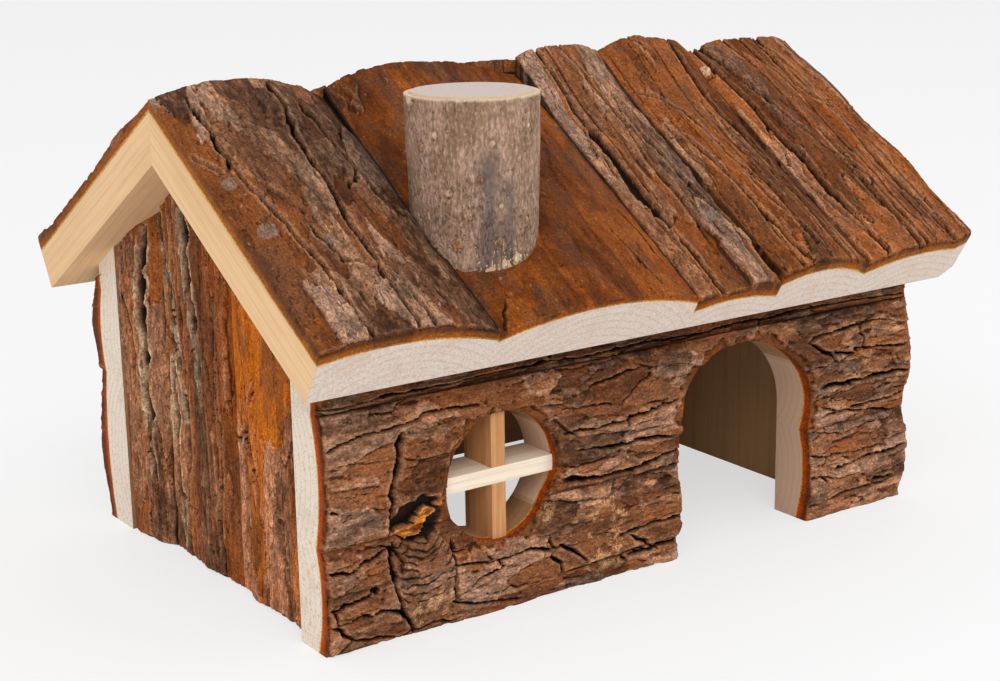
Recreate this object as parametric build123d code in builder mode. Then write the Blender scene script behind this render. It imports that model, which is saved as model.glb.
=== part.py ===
from build123d import *
import os
from math import atan, cos, radians, sin, tan

# A small animal's house of bark-faced slab boards. Millimetres, +Z up, +X along the ridge and to
# the right as seen from the front, -Y to the front. The origin is on the ground under the ridge,
# at the middle of the roof's length.

# ---- House ----
wall_length = 200.0
house_depth = 122.0
wall_height = 79.0
wall_thickness = 10.0
roof_pitch = 31.0
eave_reach = 15.0
verge_left = 9.6
verge_right = 9.2

# ---- Front wall boards, from the ground up ----
lower_board = 28.0
web_over_door = 3.5
# Wood thickness at a board's first side, at its crown and at its second side.
front_lower_wood = (8.6, 11.0, 9.2)
front_middle_wood = (9.4, 11.6, 9.0)
front_top_wood = (9.2, 10.2, 9.4)

# ---- Back wall boards, from the ground up: share of the height, then the wood's thicknesses ----
back_wall_boards = (
    ("lower", 0.58, (11.0, 13.6, 11.4)),
    ("middle", 0.31, (11.6, 13.4, 11.2)),
    ("top", 0.11, (11.2, 12.0, 11.4)),
)

# ---- Gable boards, from front to back on the left, back to front on the right ----
gable_inner = 20.0
gable_wood = 11.0
gable_crown = 1.4
# Share of the width, and how much thicker the board is at its second side than at its first.
left_gable_boards = (("front", 0.395, 0.0), ("middle", 0.40, 0.0), ("rear", 0.205, 4.2))
right_gable_boards = (("rear", 0.29, 0.0), ("middle", 0.42, 0.0), ("front", 0.29, 0.0))

# ---- Roof boards ----
# Share of the roof's length, the wood's thickness at the first side, the crown and the second
# side, how much thicker the board is at the ridge than at the eave, and the bark that is left on.
front_roof_boards = (
    (0.232, (11.6, 14.0, 8.9), 0.0, "plates"),
    (0.289, (8.0, 13.4, 8.2), 2.4, "bare"),
    (0.133, (4.8, 6.8, 4.8), 4.2, "plates"),
    (0.147, (8.8, 11.9, 7.2), 1.2, "plates"),
    (0.199, (7.1, 10.9, 8.4), 3.4, "plates"),
)
back_roof_boards = (
    (0.21, (8.0, 11.6, 8.2), 0.0, "plates"),
    (0.17, (7.2, 10.0, 7.4), 1.5, "plates"),
    (0.26, (8.4, 13.0, 8.6), 0.0, "plates"),
    (0.15, (6.6, 9.0, 7.6), 2.0, "plates"),
    (0.21, (9.4, 13.4, 11.6), 0.0, "plates"),
)
# The right front corner is sawn off: this far along the eave and up the slope.
corner_bevel = 9.0
corner_bevel_rise = 3.1

crown_place = 0.45

# ---- Bark ----
bark_edge = 2.4
bark_furrow = 2.0
bark_plate = 4.4
bare_bark = 1.6
plate_width = 9.0
plate_variation = 0.18
plate_shoulder = 0.93
furrow_width = 1.8
furrow_wander = 0.22

# ---- Doorway ----
door_from_left = 112.0
door_width = 49.0
door_height = 58.5
door_crown_share = 0.46
door_left_shoulder = 16.3
door_right_shoulder = 24.8

# ---- Window ----
window_from_left = 52.3
window_height = 36.8
window_radius = 17.2
bar_width = 4.3
bar_depth = 12.5

# ---- Chimney ----
chimney_from_left = 55.1
chimney_from_front = 10.5
chimney_radius = 17.15
chimney_bark = 1.2
chimney_above_ridge = 5.0
chimney_seat = 12.2
chimney_rim = 0.5

# ---- Fasteners ----
brad_wire = 1.2
brad_thickness = 1.0
brad_length = 20.0
brad_head_width = 2.2
brad_head = 0.8
brad_sunk = 7.6
roof_brad_from_face = 2.6
screw_radius = 1.6
screw_length = 26.0
screw_head_radius = 3.2

# ---- Derived ----
slope = radians(roof_pitch)
front_face = -house_depth / 2
roof_length = verge_left + wall_length + verge_right
roof_left = -roof_length / 2
wall_left = roof_left + verge_left
wall_right = wall_left + wall_length
inner_front = front_face + wall_thickness
inner_depth = house_depth - 2 * wall_thickness
ridge_underside = wall_height + house_depth / 2 * tan(slope)
slope_run = (house_depth / 2 + eave_reach) / cos(slope)
middle_board = door_height + web_over_door - lower_board
thickest = 30.0  # more than any board with its bark, for cuts that have to pass right through
spare = 8.0

os.makedirs("parts", exist_ok=True)


# ---- Planes ----
def roof_directions(side):
    """Up-slope and outward directions of one slope; side is -1 at the front and 1 at the back."""
    up_slope = Vector(0, -side * cos(slope), sin(slope))
    outward = Vector(0, side * sin(slope), cos(slope))
    return up_slope, outward


def underside(side):
    """The sawn underside of one slope, facing outwards, with its origin on the ridge line."""
    return Plane(origin=(0, 0, ridge_underside), x_dir=(1, 0, 0), z_dir=roof_directions(side)[1])


def eave_cut(side):
    """The square cut at the foot of one slope, facing up the slope."""
    up_slope, _ = roof_directions(side)
    foot = Vector(0, 0, ridge_underside) - up_slope * slope_run
    return Plane(origin=foot, x_dir=(1, 0, 0), z_dir=up_slope)


under_front, under_back = underside(-1), underside(1)


# ---- Slab boards ----
def crown_line(width, wood):
    """The round line between wood and bark, from side to side of a board."""
    first, crown, second = wood
    return ThreePointArc((0, first), (width * crown_place, crown), (width, second),
                         mode=Mode.PRIVATE)


def wood_outline(arc, width, below):
    """Sawn back, two square sides and the crown line."""
    return [arc, Polyline(arc @ 1, (width, -below), (0, -below), arc @ 0, mode=Mode.PRIVATE)]


def bark_outline(arc, width, seed):
    """The crown line below; above it flat-topped plates with a narrow furrow between each two."""
    count = max(2, round(width / plate_width))
    lip = furrow_width / 2 / width
    lines = [arc, Line(arc @ 0, arc @ 0 + Vector(0, bark_edge), mode=Mode.PRIVATE)]
    here, foot = 0.0, arc @ 0 + Vector(0, bark_edge)
    for i in range(1, count + 1):
        wander = furrow_wander * sin(2.4 * i + 1.7 * seed) / count
        there = 1.0 if i == count else i / count + wander
        height = bark_plate * (1 + plate_variation * sin(1.9 * i + 0.8 * seed))
        shoulder = Vector(0, height * plate_shoulder)
        left = arc @ (here + lip) + shoulder
        right = arc @ (there - lip) + shoulder
        top = arc @ ((here + there) / 2) + Vector(0, height)
        next_foot = arc @ there + Vector(0, bark_edge if i == count else bark_furrow)
        lines += [
            Line(foot, left, mode=Mode.PRIVATE),
            ThreePointArc(left, top, right, mode=Mode.PRIVATE),
            Line(right, next_foot, mode=Mode.PRIVATE),
        ]
        here, foot = there, next_foot
    lines.append(Line(foot, arc @ 1, mode=Mode.PRIVATE))
    return lines


def bare_outline(arc):
    """The crown line below; above it the even inner bark of a board that has lost its plates."""
    lift = Vector(0, bare_bark)
    top = ThreePointArc(arc @ 0 + lift, arc @ 0.5 + lift, arc @ 1 + lift, mode=Mode.PRIVATE)
    return [arc, Line(arc @ 0, arc @ 0 + lift, mode=Mode.PRIVATE), top,
            Line(arc @ 1 + lift, arc @ 1, mode=Mode.PRIVATE)]


def make_layer(label, outline, place, length, cuts, tools):
    """One layer of a board: its outline run along the grain, cut by planes and sawn by tools."""
    with BuildPart() as layer:
        with BuildSketch(place):
            with BuildLine():
                add(outline)
            make_face()
        extrude(amount=length)
        for plane in cuts:
            split(bisect_by=plane, keep=Keep.TOP)
        for tool in tools:
            add(tool, mode=Mode.SUBTRACT)
    layer.part.label = label
    write(layer)


def write(piece):
    """One STEP file for each piece, under its own name."""
    export_step(piece.part, f"parts/{piece.part.label}.step")


def slab(label, place, width, wood, length, cuts, below=0.0, wood_tools=(), bark_tools=(), seed=0,
         bare=False):
    """A slab board and its bark, as two pieces that share the crown line."""
    arc = crown_line(width, wood)
    bark = bare_outline(arc) if bare else bark_outline(arc, width, seed)
    make_layer(label, wood_outline(arc, width, below), place, length, cuts, wood_tools)
    make_layer(f"{label}_bark", bark, place, length, cuts, bark_tools)


# ---- Openings, as the tools that saw them ----
door_left = wall_left + door_from_left
door_right = door_left + door_width
door_crown = door_left + door_width * door_crown_share
door_middle = (door_left + door_right) / 2
window_x = wall_left + window_from_left
front_view = Plane(origin=(0, inner_front + spare, 0), x_dir=(1, 0, 0), z_dir=(0, -1, 0))
sawing_depth = wall_thickness + thickest + spare

with BuildPart() as door_saw:
    with BuildSketch(front_view):
        with BuildLine():
            left_spring = door_height - door_left_shoulder
            right_spring = door_height - door_right_shoulder
            Polyline((door_left, left_spring), (door_left, -spare), (door_right, -spare),
                     (door_right, right_spring))
            EllipticalCenterArc((door_crown, right_spring), door_right - door_crown,
                                door_right_shoulder, start_angle=0, arc_size=90)
            EllipticalCenterArc((door_crown, left_spring), door_crown - door_left,
                                door_left_shoulder, start_angle=90, arc_size=90)
        make_face()
    extrude(amount=sawing_depth)

with BuildPart() as window_saw:
    with BuildSketch(front_view):
        with Locations((window_x, window_height)):
            Circle(window_radius)
    extrude(amount=sawing_depth)

# The chimney's own space: an upright round on a flat seat along the slope.
chimney_x = wall_left + chimney_from_left
chimney_y = front_face + chimney_from_front
chimney_top = ridge_underside + front_roof_boards[0][1][0] / cos(slope) + chimney_above_ridge
seat_plane = under_front.offset(chimney_seat)


def chimney_round(radius, top):
    """An upright round at the chimney's place, cut along the seat."""
    with BuildPart() as stub:
        with BuildSketch(Plane.XY.offset(wall_height / 2)):
            with Locations((chimney_x, chimney_y)):
                Circle(radius)
        extrude(amount=top - wall_height / 2)
        split(bisect_by=seat_plane, keep=Keep.TOP)
    return stub.part


chimney_space = chimney_round(chimney_radius, chimney_top + spare)

# ---- Fasteners ----
# A gun brad: flat wire with a small T head; its hole goes on outwards to where it was driven in.
with BuildPart() as brad:
    with BuildSketch():
        Rectangle(brad_head_width, brad_thickness)
    extrude(amount=-brad_head)
    with BuildSketch():
        Rectangle(brad_wire, brad_thickness)
    extrude(amount=-brad_length)

with BuildPart() as brad_hole:
    add(brad.part)
    with BuildSketch():
        Rectangle(brad_head_width, brad_thickness)
    extrude(amount=spare)

gable_middle = gable_inner - gable_wood / 2


def board_starts(shares, total):
    """Where each board starts, and its width, when they fill a length side by side."""
    whole = sum(shares)
    starts = [total * sum(shares[:i]) / whole for i in range(len(shares))]
    widths = [total * share / whole for share in shares]
    return list(zip(starts, widths))


back_boards = board_starts([share for _, share, _ in back_wall_boards], wall_height)
front_seams = (0, lower_board, lower_board + middle_board, wall_height)
board_middles = {
    -1: [(low + high) / 2 for low, high in zip(front_seams, front_seams[1:])],
    1: [start + width / 2 for start, width in back_boards],
}


def wall_brad_places(side):
    """Where brads go through the ends of one long wall's boards; their heads face outwards."""
    places = []
    for height in board_middles[side]:
        for x in (wall_left + gable_middle, wall_right - gable_middle):
            head = (x, side * (house_depth / 2 - wall_thickness + brad_sunk), height)
            places.append(Plane(origin=head, x_dir=(1, 0, 0), z_dir=(0, side, 0)))
    return places


front_layout = board_starts([share for share, _, _, _ in front_roof_boards], roof_length)
back_layout = board_starts([share for share, _, _, _ in back_roof_boards], roof_length)


def roof_brad_places(side, layout):
    """Where brads go through one slope, square to it, into the wall's top and the gables."""
    up_slope, outward = roof_directions(side)
    ridge_line = Vector(0, 0, ridge_underside)
    over_wall = (house_depth / 2 - roof_brad_from_face) / cos(slope)
    over_gable = house_depth / 4 / cos(slope)
    last = len(layout) - 1
    spots = []
    for i, (start, width) in enumerate(layout):
        share = {0: 0.75, last: 0.25}.get(i, 0.5)
        spots.append((-side * (roof_left + start + width * share), over_wall))
    spots += [(wall_left + gable_middle, over_gable), (wall_right - gable_middle, over_gable)]
    places = []
    for x, down in spots:
        head = ridge_line - up_slope * down + outward * roof_brad_head
        places.append(Plane(origin=head + Vector(x, 0, 0), x_dir=(1, 0, 0), z_dir=outward))
    return places


thinnest_roof = min(min(wood) for _, wood, _, _ in front_roof_boards + back_roof_boards)
roof_brad_head = thinnest_roof * 0.8

with BuildPart() as front_wall_brads:
    with Locations(*wall_brad_places(-1)):
        add(brad.part)
with BuildPart() as front_wall_holes:
    with Locations(*wall_brad_places(-1)):
        add(brad_hole.part)
with BuildPart() as back_wall_brads:
    with Locations(*wall_brad_places(1)):
        add(brad.part)
with BuildPart() as back_wall_holes:
    with Locations(*wall_brad_places(1)):
        add(brad_hole.part)
with BuildPart() as roof_front_brads:
    with Locations(*roof_brad_places(-1, front_layout)):
        add(brad.part)
with BuildPart() as roof_front_holes:
    with Locations(*roof_brad_places(-1, front_layout)):
        add(brad_hole.part)
with BuildPart() as roof_back_brads:
    with Locations(*roof_brad_places(1, back_layout)):
        add(brad.part)
with BuildPart() as roof_back_holes:
    with Locations(*roof_brad_places(1, back_layout)):
        add(brad_hole.part)

# The screw comes up through the board from below, its head sunk flush with the underside.
screw_foot = Vector(chimney_x, chimney_y, ridge_underside - abs(chimney_y) * tan(slope))
screw_plane = Plane(origin=screw_foot, x_dir=(1, 0, 0), z_dir=roof_directions(-1)[1])
with BuildPart() as chimney_screw:
    with BuildSketch(Plane(origin=screw_plane.origin, x_dir=(1, 0, 0),
                           z_dir=screw_plane.x_dir.cross(screw_plane.z_dir))):
        with BuildLine():
            tip = screw_length - 2 * screw_radius
            neck = screw_head_radius - screw_radius
            Polyline((0, 0), (screw_head_radius, 0), (screw_radius, neck), (screw_radius, tip),
                     (0, screw_length), (0, 0))
        make_face()
    revolve(axis=Axis(screw_plane.origin, screw_plane.z_dir))

for group, name in (
    (front_wall_brads, "front_wall_brads"),
    (back_wall_brads, "back_wall_brads"),
    (roof_front_brads, "roof_front_brads"),
    (roof_back_brads, "roof_back_brads"),
    (chimney_screw, "chimney_screw"),
):
    group.part.label = name
    write(group)


# ---- Long walls ----
def wall_place(side, height):
    """Profile plane of a long wall's board: up the wall, then outwards; grain along the wall."""
    start = wall_left if side < 0 else wall_right
    inner = side * (house_depth / 2 - wall_thickness)
    return Plane(origin=(start, inner, height), x_dir=(0, 0, 1), z_dir=(-side, 0, 0))


below_roof = {-1: Plane(under_front.origin, x_dir=(1, 0, 0), z_dir=-under_front.z_dir),
              1: Plane(under_back.origin, x_dir=(1, 0, 0), z_dir=-under_back.z_dir)}
left_of_door = Plane(origin=(door_middle, 0, 0), x_dir=(0, 1, 0), z_dir=(-1, 0, 0))
right_of_door = Plane(origin=(door_middle, 0, 0), x_dir=(0, 1, 0), z_dir=(1, 0, 0))
front_openings = (door_saw.part, window_saw.part)
front_tools = (*front_openings, front_wall_holes.part, roof_front_holes.part)

slab("front_wall_lower_left", wall_place(-1, 0), lower_board, front_lower_wood, wall_length,
     (left_of_door,), wood_tools=front_tools, bark_tools=front_openings, seed=1)
slab("front_wall_lower_right", wall_place(-1, 0), lower_board, front_lower_wood, wall_length,
     (right_of_door,), wood_tools=front_tools, bark_tools=front_openings, seed=1)
slab("front_wall_middle", wall_place(-1, lower_board), middle_board, front_middle_wood,
     wall_length, (below_roof[-1],), wood_tools=front_tools, bark_tools=front_openings, seed=2)
top_board = wall_height + wall_thickness * tan(slope) + spare - lower_board - middle_board
slab("front_wall_top", wall_place(-1, lower_board + middle_board), top_board, front_top_wood,
     wall_length, (below_roof[-1],), wood_tools=front_tools, bark_tools=front_openings, seed=3)

back_tools = (back_wall_holes.part, roof_back_holes.part)
for i, (name, _, wood) in enumerate(back_wall_boards):
    start, width = back_boards[i]
    if name == "top":
        width += wall_thickness * tan(slope) + spare
    slab(f"back_wall_{name}", wall_place(1, start), width, wood, wall_length,
         (below_roof[1],), wood_tools=back_tools, seed=i + 5)

# ---- Gables ----
gable_tools = (front_wall_holes.part, back_wall_holes.part, roof_front_holes.part,
               roof_back_holes.part)
gable_height = ridge_underside + spare
for side, boards in ((-1, left_gable_boards), (1, right_gable_boards)):
    wall_end = wall_left if side < 0 else wall_right
    layout = board_starts([share for _, share, _ in boards], inner_depth)
    for i, (name, _, lift) in enumerate(boards):
        start, width = layout[i]
        y = -side * (start - inner_depth / 2) if side > 0 else start - inner_depth / 2
        place = Plane(origin=(wall_end - side * gable_inner, y, 0), x_dir=(0, -side, 0),
                      z_dir=(0, 0, 1))
        wood = (gable_wood, gable_wood + gable_crown + lift / 2, gable_wood + lift)
        slab(f"{'left' if side < 0 else 'right'}_gable_{name}", place, width, wood,
             gable_height, (below_roof[-1], below_roof[1]), wood_tools=gable_tools,
             seed=i + (9 if side < 0 else 13))


# ---- Roof ----
front_slope, front_outward = roof_directions(-1)
corner = eave_cut(-1).origin + Vector(roof_length / 2, 0, 0)
bevel_plane = Plane(origin=corner - Vector(corner_bevel, 0, 0), x_dir=front_outward,
                    z_dir=front_slope * corner_bevel - Vector(corner_bevel_rise, 0, 0))


def roof_place(side, start, wood_rise):
    """Profile plane of a roof board just below the eave: across the board, then outwards."""
    up_slope, outward = roof_directions(side)
    tilt = atan(wood_rise / slope_run)
    along = up_slope * cos(tilt) + outward * sin(tilt)
    foot = Vector(0, 0, ridge_underside) - up_slope * (slope_run + spare)
    x = -side * (roof_left + start)
    return Plane(origin=foot + Vector(x, 0, 0), x_dir=(-side, 0, 0), z_dir=-along)


for side, name, boards, layout in ((-1, "front", front_roof_boards, front_layout),
                                   (1, "back", back_roof_boards, back_layout)):
    mitre = Plane(origin=(0, 0, 0), x_dir=(1, 0, 0), z_dir=(0, side, 0))
    holes = roof_front_holes.part if side < 0 else roof_back_holes.part
    for i, (_, wood, rise, bark) in enumerate(boards):
        start, width = layout[i]
        cuts = [underside(side), eave_cut(side), mitre]
        space = (chimney_space, chimney_screw.part) if side < 0 and i < 2 else ()
        if side < 0 and i == len(boards) - 1:
            cuts.append(bevel_plane)
        slab(f"roof_{name}_{i + 1}", roof_place(side, start, rise), width, wood,
             -(slope_run + 2 * thickest), cuts, below=rise + 1, wood_tools=(holes, *space),
             bark_tools=space, seed=i + (17 if side < 0 else 23), bare=bark == "bare")

# ---- Chimney ----
with BuildPart() as chimney:
    add(chimney_round(chimney_radius - chimney_bark, chimney_top))
    chamfer(chimney.faces().sort_by(Axis.Z)[-1].edges(), chimney_rim)
    add(chimney_screw.part, mode=Mode.SUBTRACT)
chimney.part.label = "chimney"
write(chimney)

with BuildPart() as chimney_skin:
    add(chimney_round(chimney_radius, chimney_top - chimney_rim))
    add(chimney_round(chimney_radius - chimney_bark, chimney_top + spare), mode=Mode.SUBTRACT)
chimney_skin.part.label = "chimney_bark"
write(chimney_skin)

# ---- Window bars: each fits the round of the window, and they are halved into each other ----
window_centre = (window_x, window_height)
inner_view = Plane(origin=(0, inner_front, 0), x_dir=(1, 0, 0), z_dir=(0, -1, 0))
half_depth = bar_depth / 2

with BuildPart() as bar_horizontal:
    with BuildSketch(inner_view):
        with Locations(window_centre):
            Circle(window_radius)
            Rectangle(3 * window_radius, bar_width, mode=Mode.INTERSECT)
    extrude(amount=bar_depth)
    with BuildSketch(inner_view):
        with Locations(window_centre):
            Rectangle(bar_width, 2 * bar_width)
    extrude(amount=half_depth, mode=Mode.SUBTRACT)
bar_horizontal.part.label = "window_bar_horizontal"
write(bar_horizontal)

with BuildPart() as bar_upright:
    with BuildSketch(inner_view):
        with Locations(window_centre):
            Circle(window_radius)
            Rectangle(bar_width, 3 * window_radius, mode=Mode.INTERSECT)
    extrude(amount=bar_depth)
    with BuildSketch(inner_view.offset(half_depth)):
        with Locations(window_centre):
            Rectangle(2 * bar_width, bar_width)
    extrude(amount=half_depth, mode=Mode.SUBTRACT)
bar_upright.part.label = "window_bar_upright"
write(bar_upright)
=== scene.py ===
import math
from dataclasses import dataclass, replace

import bpy
import numpy as np
from mathutils import Matrix, Vector
from mathutils.bvhtree import BVHTree


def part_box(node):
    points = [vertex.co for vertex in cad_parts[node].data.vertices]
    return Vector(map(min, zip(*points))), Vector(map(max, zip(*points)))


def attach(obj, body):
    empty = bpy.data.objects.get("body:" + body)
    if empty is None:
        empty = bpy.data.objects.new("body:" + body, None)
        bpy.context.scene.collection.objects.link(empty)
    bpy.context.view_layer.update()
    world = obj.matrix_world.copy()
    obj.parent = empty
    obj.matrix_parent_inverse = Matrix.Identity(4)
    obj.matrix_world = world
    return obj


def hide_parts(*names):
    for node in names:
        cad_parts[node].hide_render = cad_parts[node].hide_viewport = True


bl_info = {
    "name": "Bark House",
    "version": (1, 0, 0),
    "blender": (4, 5, 0),
    "location": "View3D > Sidebar > Bark House",
    "description": "Dresses a small animal's house of slab boards: bark relief, sawn wood, chimney and stage",
    "category": "Object",
}

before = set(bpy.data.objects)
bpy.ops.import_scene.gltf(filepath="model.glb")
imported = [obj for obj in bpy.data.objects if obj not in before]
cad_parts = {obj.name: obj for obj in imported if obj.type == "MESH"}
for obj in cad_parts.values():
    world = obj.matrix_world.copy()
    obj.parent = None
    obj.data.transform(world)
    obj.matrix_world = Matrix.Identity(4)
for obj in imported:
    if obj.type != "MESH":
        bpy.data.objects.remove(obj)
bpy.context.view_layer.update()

MM = 0.001
BODY = "root"
IMAGE_WIDTH = 1000
FAR = 99.0                # millimetres; stands for nothing near
NOMINAL_HEIGHT = 10.0     # about how far a board's bark lies above its sawn face, in millimetres


# ---------------- colours

def linear(red, green, blue):
    """A display colour of 0-255 steps as the linear colour that shaders take."""
    steps = [c / 255 for c in (red, green, blue)]
    return tuple(c / 12.92 if c <= 0.04045 else ((c + 0.055) / 1.055) ** 2.4 for c in steps)


# ---------------- noise on a board's surface

PLACE_PRIMES = (374761393, 668265263)
SEED_PRIME = 1442695041
MIXING_PRIME = 1274126177


def scatter(ix, iy, seed):
    """A repeatable number from 0 to 1 for each whole-numbered place."""
    n = ix.astype(np.int64) * PLACE_PRIMES[0] + iy.astype(np.int64) * PLACE_PRIMES[1] + seed * SEED_PRIME
    n = (n ^ (n >> 13)) * MIXING_PRIME
    n = n ^ (n >> 16)
    return (n & 0xFFFFFF) / float(0x1000000)


def blend(first, second, share):
    """The first value where the share is 0 and the second where it is 1."""
    return first * (1 - share) + second * share


def waves(x, y, seed):
    """Smooth noise from 0 to 1, one swell to each unit."""
    ix, iy = np.floor(x), np.floor(y)
    fx, fy = x - ix, y - iy
    fx, fy = fx * fx * (3 - 2 * fx), fy * fy * (3 - 2 * fy)
    low = blend(scatter(ix, iy, seed), scatter(ix + 1, iy, seed), fx)
    high = blend(scatter(ix, iy + 1, seed), scatter(ix + 1, iy + 1, seed), fx)
    return blend(low, high, fy)


def rough(x, y, seed, octaves=3):
    """Waves on waves, from 0 to 1."""
    total = np.zeros_like(x)
    weight, whole = 1.0, 0.0
    for i in range(octaves):
        total += weight * waves(x * 2 ** i + 17.3 * i, y * 2 ** i - 9.1 * i, seed + 31 * i)
        whole += weight
        weight *= 0.5
    return total / whole


@dataclass
class Cells:
    """Pieces that fill a surface: distance to an edge, place across, and own tone, hue, lift and tilt."""
    edge: np.ndarray
    across: np.ndarray
    tone: np.ndarray
    hue: np.ndarray
    lift: np.ndarray
    tilt: np.ndarray


def plates(x, y, seed):
    """Irregular plates, one to each unit square."""
    ix, iy = np.floor(x), np.floor(y)
    nearest = np.full(x.shape, 9.0)
    second = np.full(x.shape, 9.0)
    own = [np.zeros(x.shape) for _ in range(4)]
    for dx in (-1, 0, 1):
        for dy in (-1, 0, 1):
            cx, cy = ix + dx, iy + dy
            px = cx + 0.1 + 0.8 * scatter(cx, cy, seed)
            py = cy + 0.1 + 0.8 * scatter(cx, cy, seed + 1)
            away = np.hypot(x - px, y - py)
            closer = away < nearest
            second = np.where(closer, nearest, np.minimum(second, away))
            nearest = np.where(closer, away, nearest)
            for kept, found in zip(own, (cx, cy, x - px, y - py)):
                kept[closer] = found[closer]
    cx, cy, off_x, off_y = own
    lean_x, lean_y = (scatter(cx, cy, seed + i) - 0.5 for i in (4, 5))
    tone, hue, lift = (scatter(cx, cy, seed + i) for i in (2, 6, 3))
    return Cells((second - nearest) / 2, off_x, tone, hue, lift, off_x * lean_x * 2 + off_y * lean_y * 2)


def cells_between(x, row, seed, jitter):
    """Which jittered cell of a row a place lies in, the distance to its nearer end, and the place in it."""
    base = np.floor(x)
    low = base + jitter * (scatter(base, row, seed) - 0.5)
    high = base + 1 + jitter * (scatter(base + 1, row, seed) - 0.5)
    cell = np.where(x < low, base - 1, np.where(x > high, base + 1, base))
    return cell, np.minimum(np.abs(x - low), np.abs(x - high)), x - cell


def ribs(x, y, seed, slimness):
    """Long ribs side by side, each broken along; slimness is a rib's length over its width."""
    flat = np.zeros_like(x)
    rib, side, across = cells_between(x, flat, seed, 0.6)
    along = y + 7.3 * scatter(rib, flat, seed + 1) + 0.1 * np.sin(6.0 * x + rib)
    part, end, place_along = cells_between(along, rib, seed + 2, 0.7)
    lean, tone, hue, lift = (scatter(rib, part, seed + i) for i in (5, 3, 6, 4))
    tilt = (across - 0.5) * (lean - 0.5) * 2 + (place_along - 0.5) * 0.4
    return Cells(np.minimum(side, end * slimness), across - 0.5, tone, hue, lift, tilt)


def slivers(x, y, seed):
    """Ribs seven times as long as they are wide."""
    return ribs(x, y, seed, 7)


def ramp(value, low, high):
    """0 below low, 1 above high, smooth between."""
    t = np.clip((value - low) / (high - low), 0, 1)
    return t * t * (3 - 2 * t)


def to_level(field, level, steps):
    """Distance in millimetres from each place to where a field crosses a level, above it positive."""
    rise_s, rise_u = np.gradient(field)
    slope = np.hypot(rise_s / steps[0], rise_u / steps[1])
    return (field - level) / np.maximum(slope, 1e-4)


def crisp(field, level, width, steps):
    """1 where a field is over a level and 0 where it is under, with an edge of a set width."""
    return ramp(to_level(field, level, steps), -width / 2, width / 2)


def soften(field, reach):
    """The average of each place's surroundings; reach is how many points it goes along each axis."""
    for _ in range(2):
        for axis, n in enumerate(reach):
            margin = [(n + 1, n) if i == axis else (0, 0) for i in (0, 1)]
            total = np.cumsum(np.pad(field, margin, mode="edge"), axis=axis)
            count = total.shape[axis]
            ahead = np.take(total, np.arange(2 * n + 1, count), axis)
            behind = np.take(total, np.arange(0, count - 2 * n - 1), axis)
            field = (ahead - behind) / (2 * n + 1)
    return field


# ---------------- boards, as the frame holds them

@dataclass
class Board:
    """Where a slab board lies, in millimetres: across it, along its grain, outwards from its sawn face."""
    node: str
    origin: Vector
    across: Vector
    grain: Vector
    outward: Vector
    width: float
    length: float
    probe: tuple = (0.05, 0.95)
    lean_end: float = 0.0      # how far the far end moves along the grain per mm outwards
    lean_side: float = 0.0     # how far the second side moves across per mm outwards
    peak: float = None         # across position of a gable's ridge line, where its end is cut to the roof
    steep: float = 0.0
    bevel: tuple = None        # a corner sawn off: (where it starts across the foot, how steeply it runs)
    cut_sides: tuple = ()      # which of first, second, foot, head are sawn through the bark
    mitred: bool = False       # its head meets another board's head
    openings: tuple = ()

    def to_meeting(self, s):
        """Distance to the head that meets another board."""
        return self.length + NOMINAL_HEIGHT * self.lean_end - s if self.mitred else np.full(s.shape, FAR)


PROBE_FROM = 40.0    # millimetres above the sawn face, clear of every board


def crown_heights(board, across, along):
    """Height of the wood under the bark, above the board's sawn face, found on the CAD board itself."""
    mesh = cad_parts[board.node].data
    points = [v.co for v in mesh.vertices]
    tree = BVHTree.FromPolygons(points, [tuple(p.vertices) for p in mesh.polygons])
    samples = np.linspace(0.01, 0.99, 41) * board.width
    lines = []
    for share in board.probe:
        heights = []
        for u in samples:
            spot = board.origin + board.across * u + board.grain * (share * board.length)
            start = (spot + board.outward * PROBE_FROM) * MM
            hit = tree.ray_cast(start, -board.outward)[0]
            heights.append((hit / MM - spot).dot(board.outward) if hit else np.nan)
        heights = np.array(heights)
        good = ~np.isnan(heights)
        lines.append(np.interp(across, samples[good], heights[good]))
    first, second = board.probe
    share = (along / board.length - first) / (second - first) if second > first else along * 0
    return lines[0] + (lines[-1] - lines[0]) * share


def along_limits(board, u, height):
    """Where the grain starts and ends at each place across, at a height above the sawn face."""
    start = np.zeros_like(u)
    if board.bevel:
        foot, slope = board.bevel
        start = np.maximum(start, (u - foot) * slope)
    end = board.length + height * board.lean_end
    if board.peak is not None:
        end = end - np.abs(u - board.peak) * board.steep
    return start, end


def place(board, a, b, height):
    """Board millimetres of 0-1 shares across and along, at heights above the sawn face."""
    u = a * (board.width + height * board.lean_side)
    start, end = along_limits(board, u, height)
    return u, start + b * (end - start)


def to_space(board, u, s, height):
    """Board millimetres to points in metres."""
    flat = np.array(board.origin)[:, None] * np.ones_like(u)
    for direction, reach in ((board.across, u), (board.grain, s), (board.outward, height)):
        flat = flat + np.array(direction)[:, None] * reach
    return flat.T * MM


# ---------------- bark styles

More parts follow.
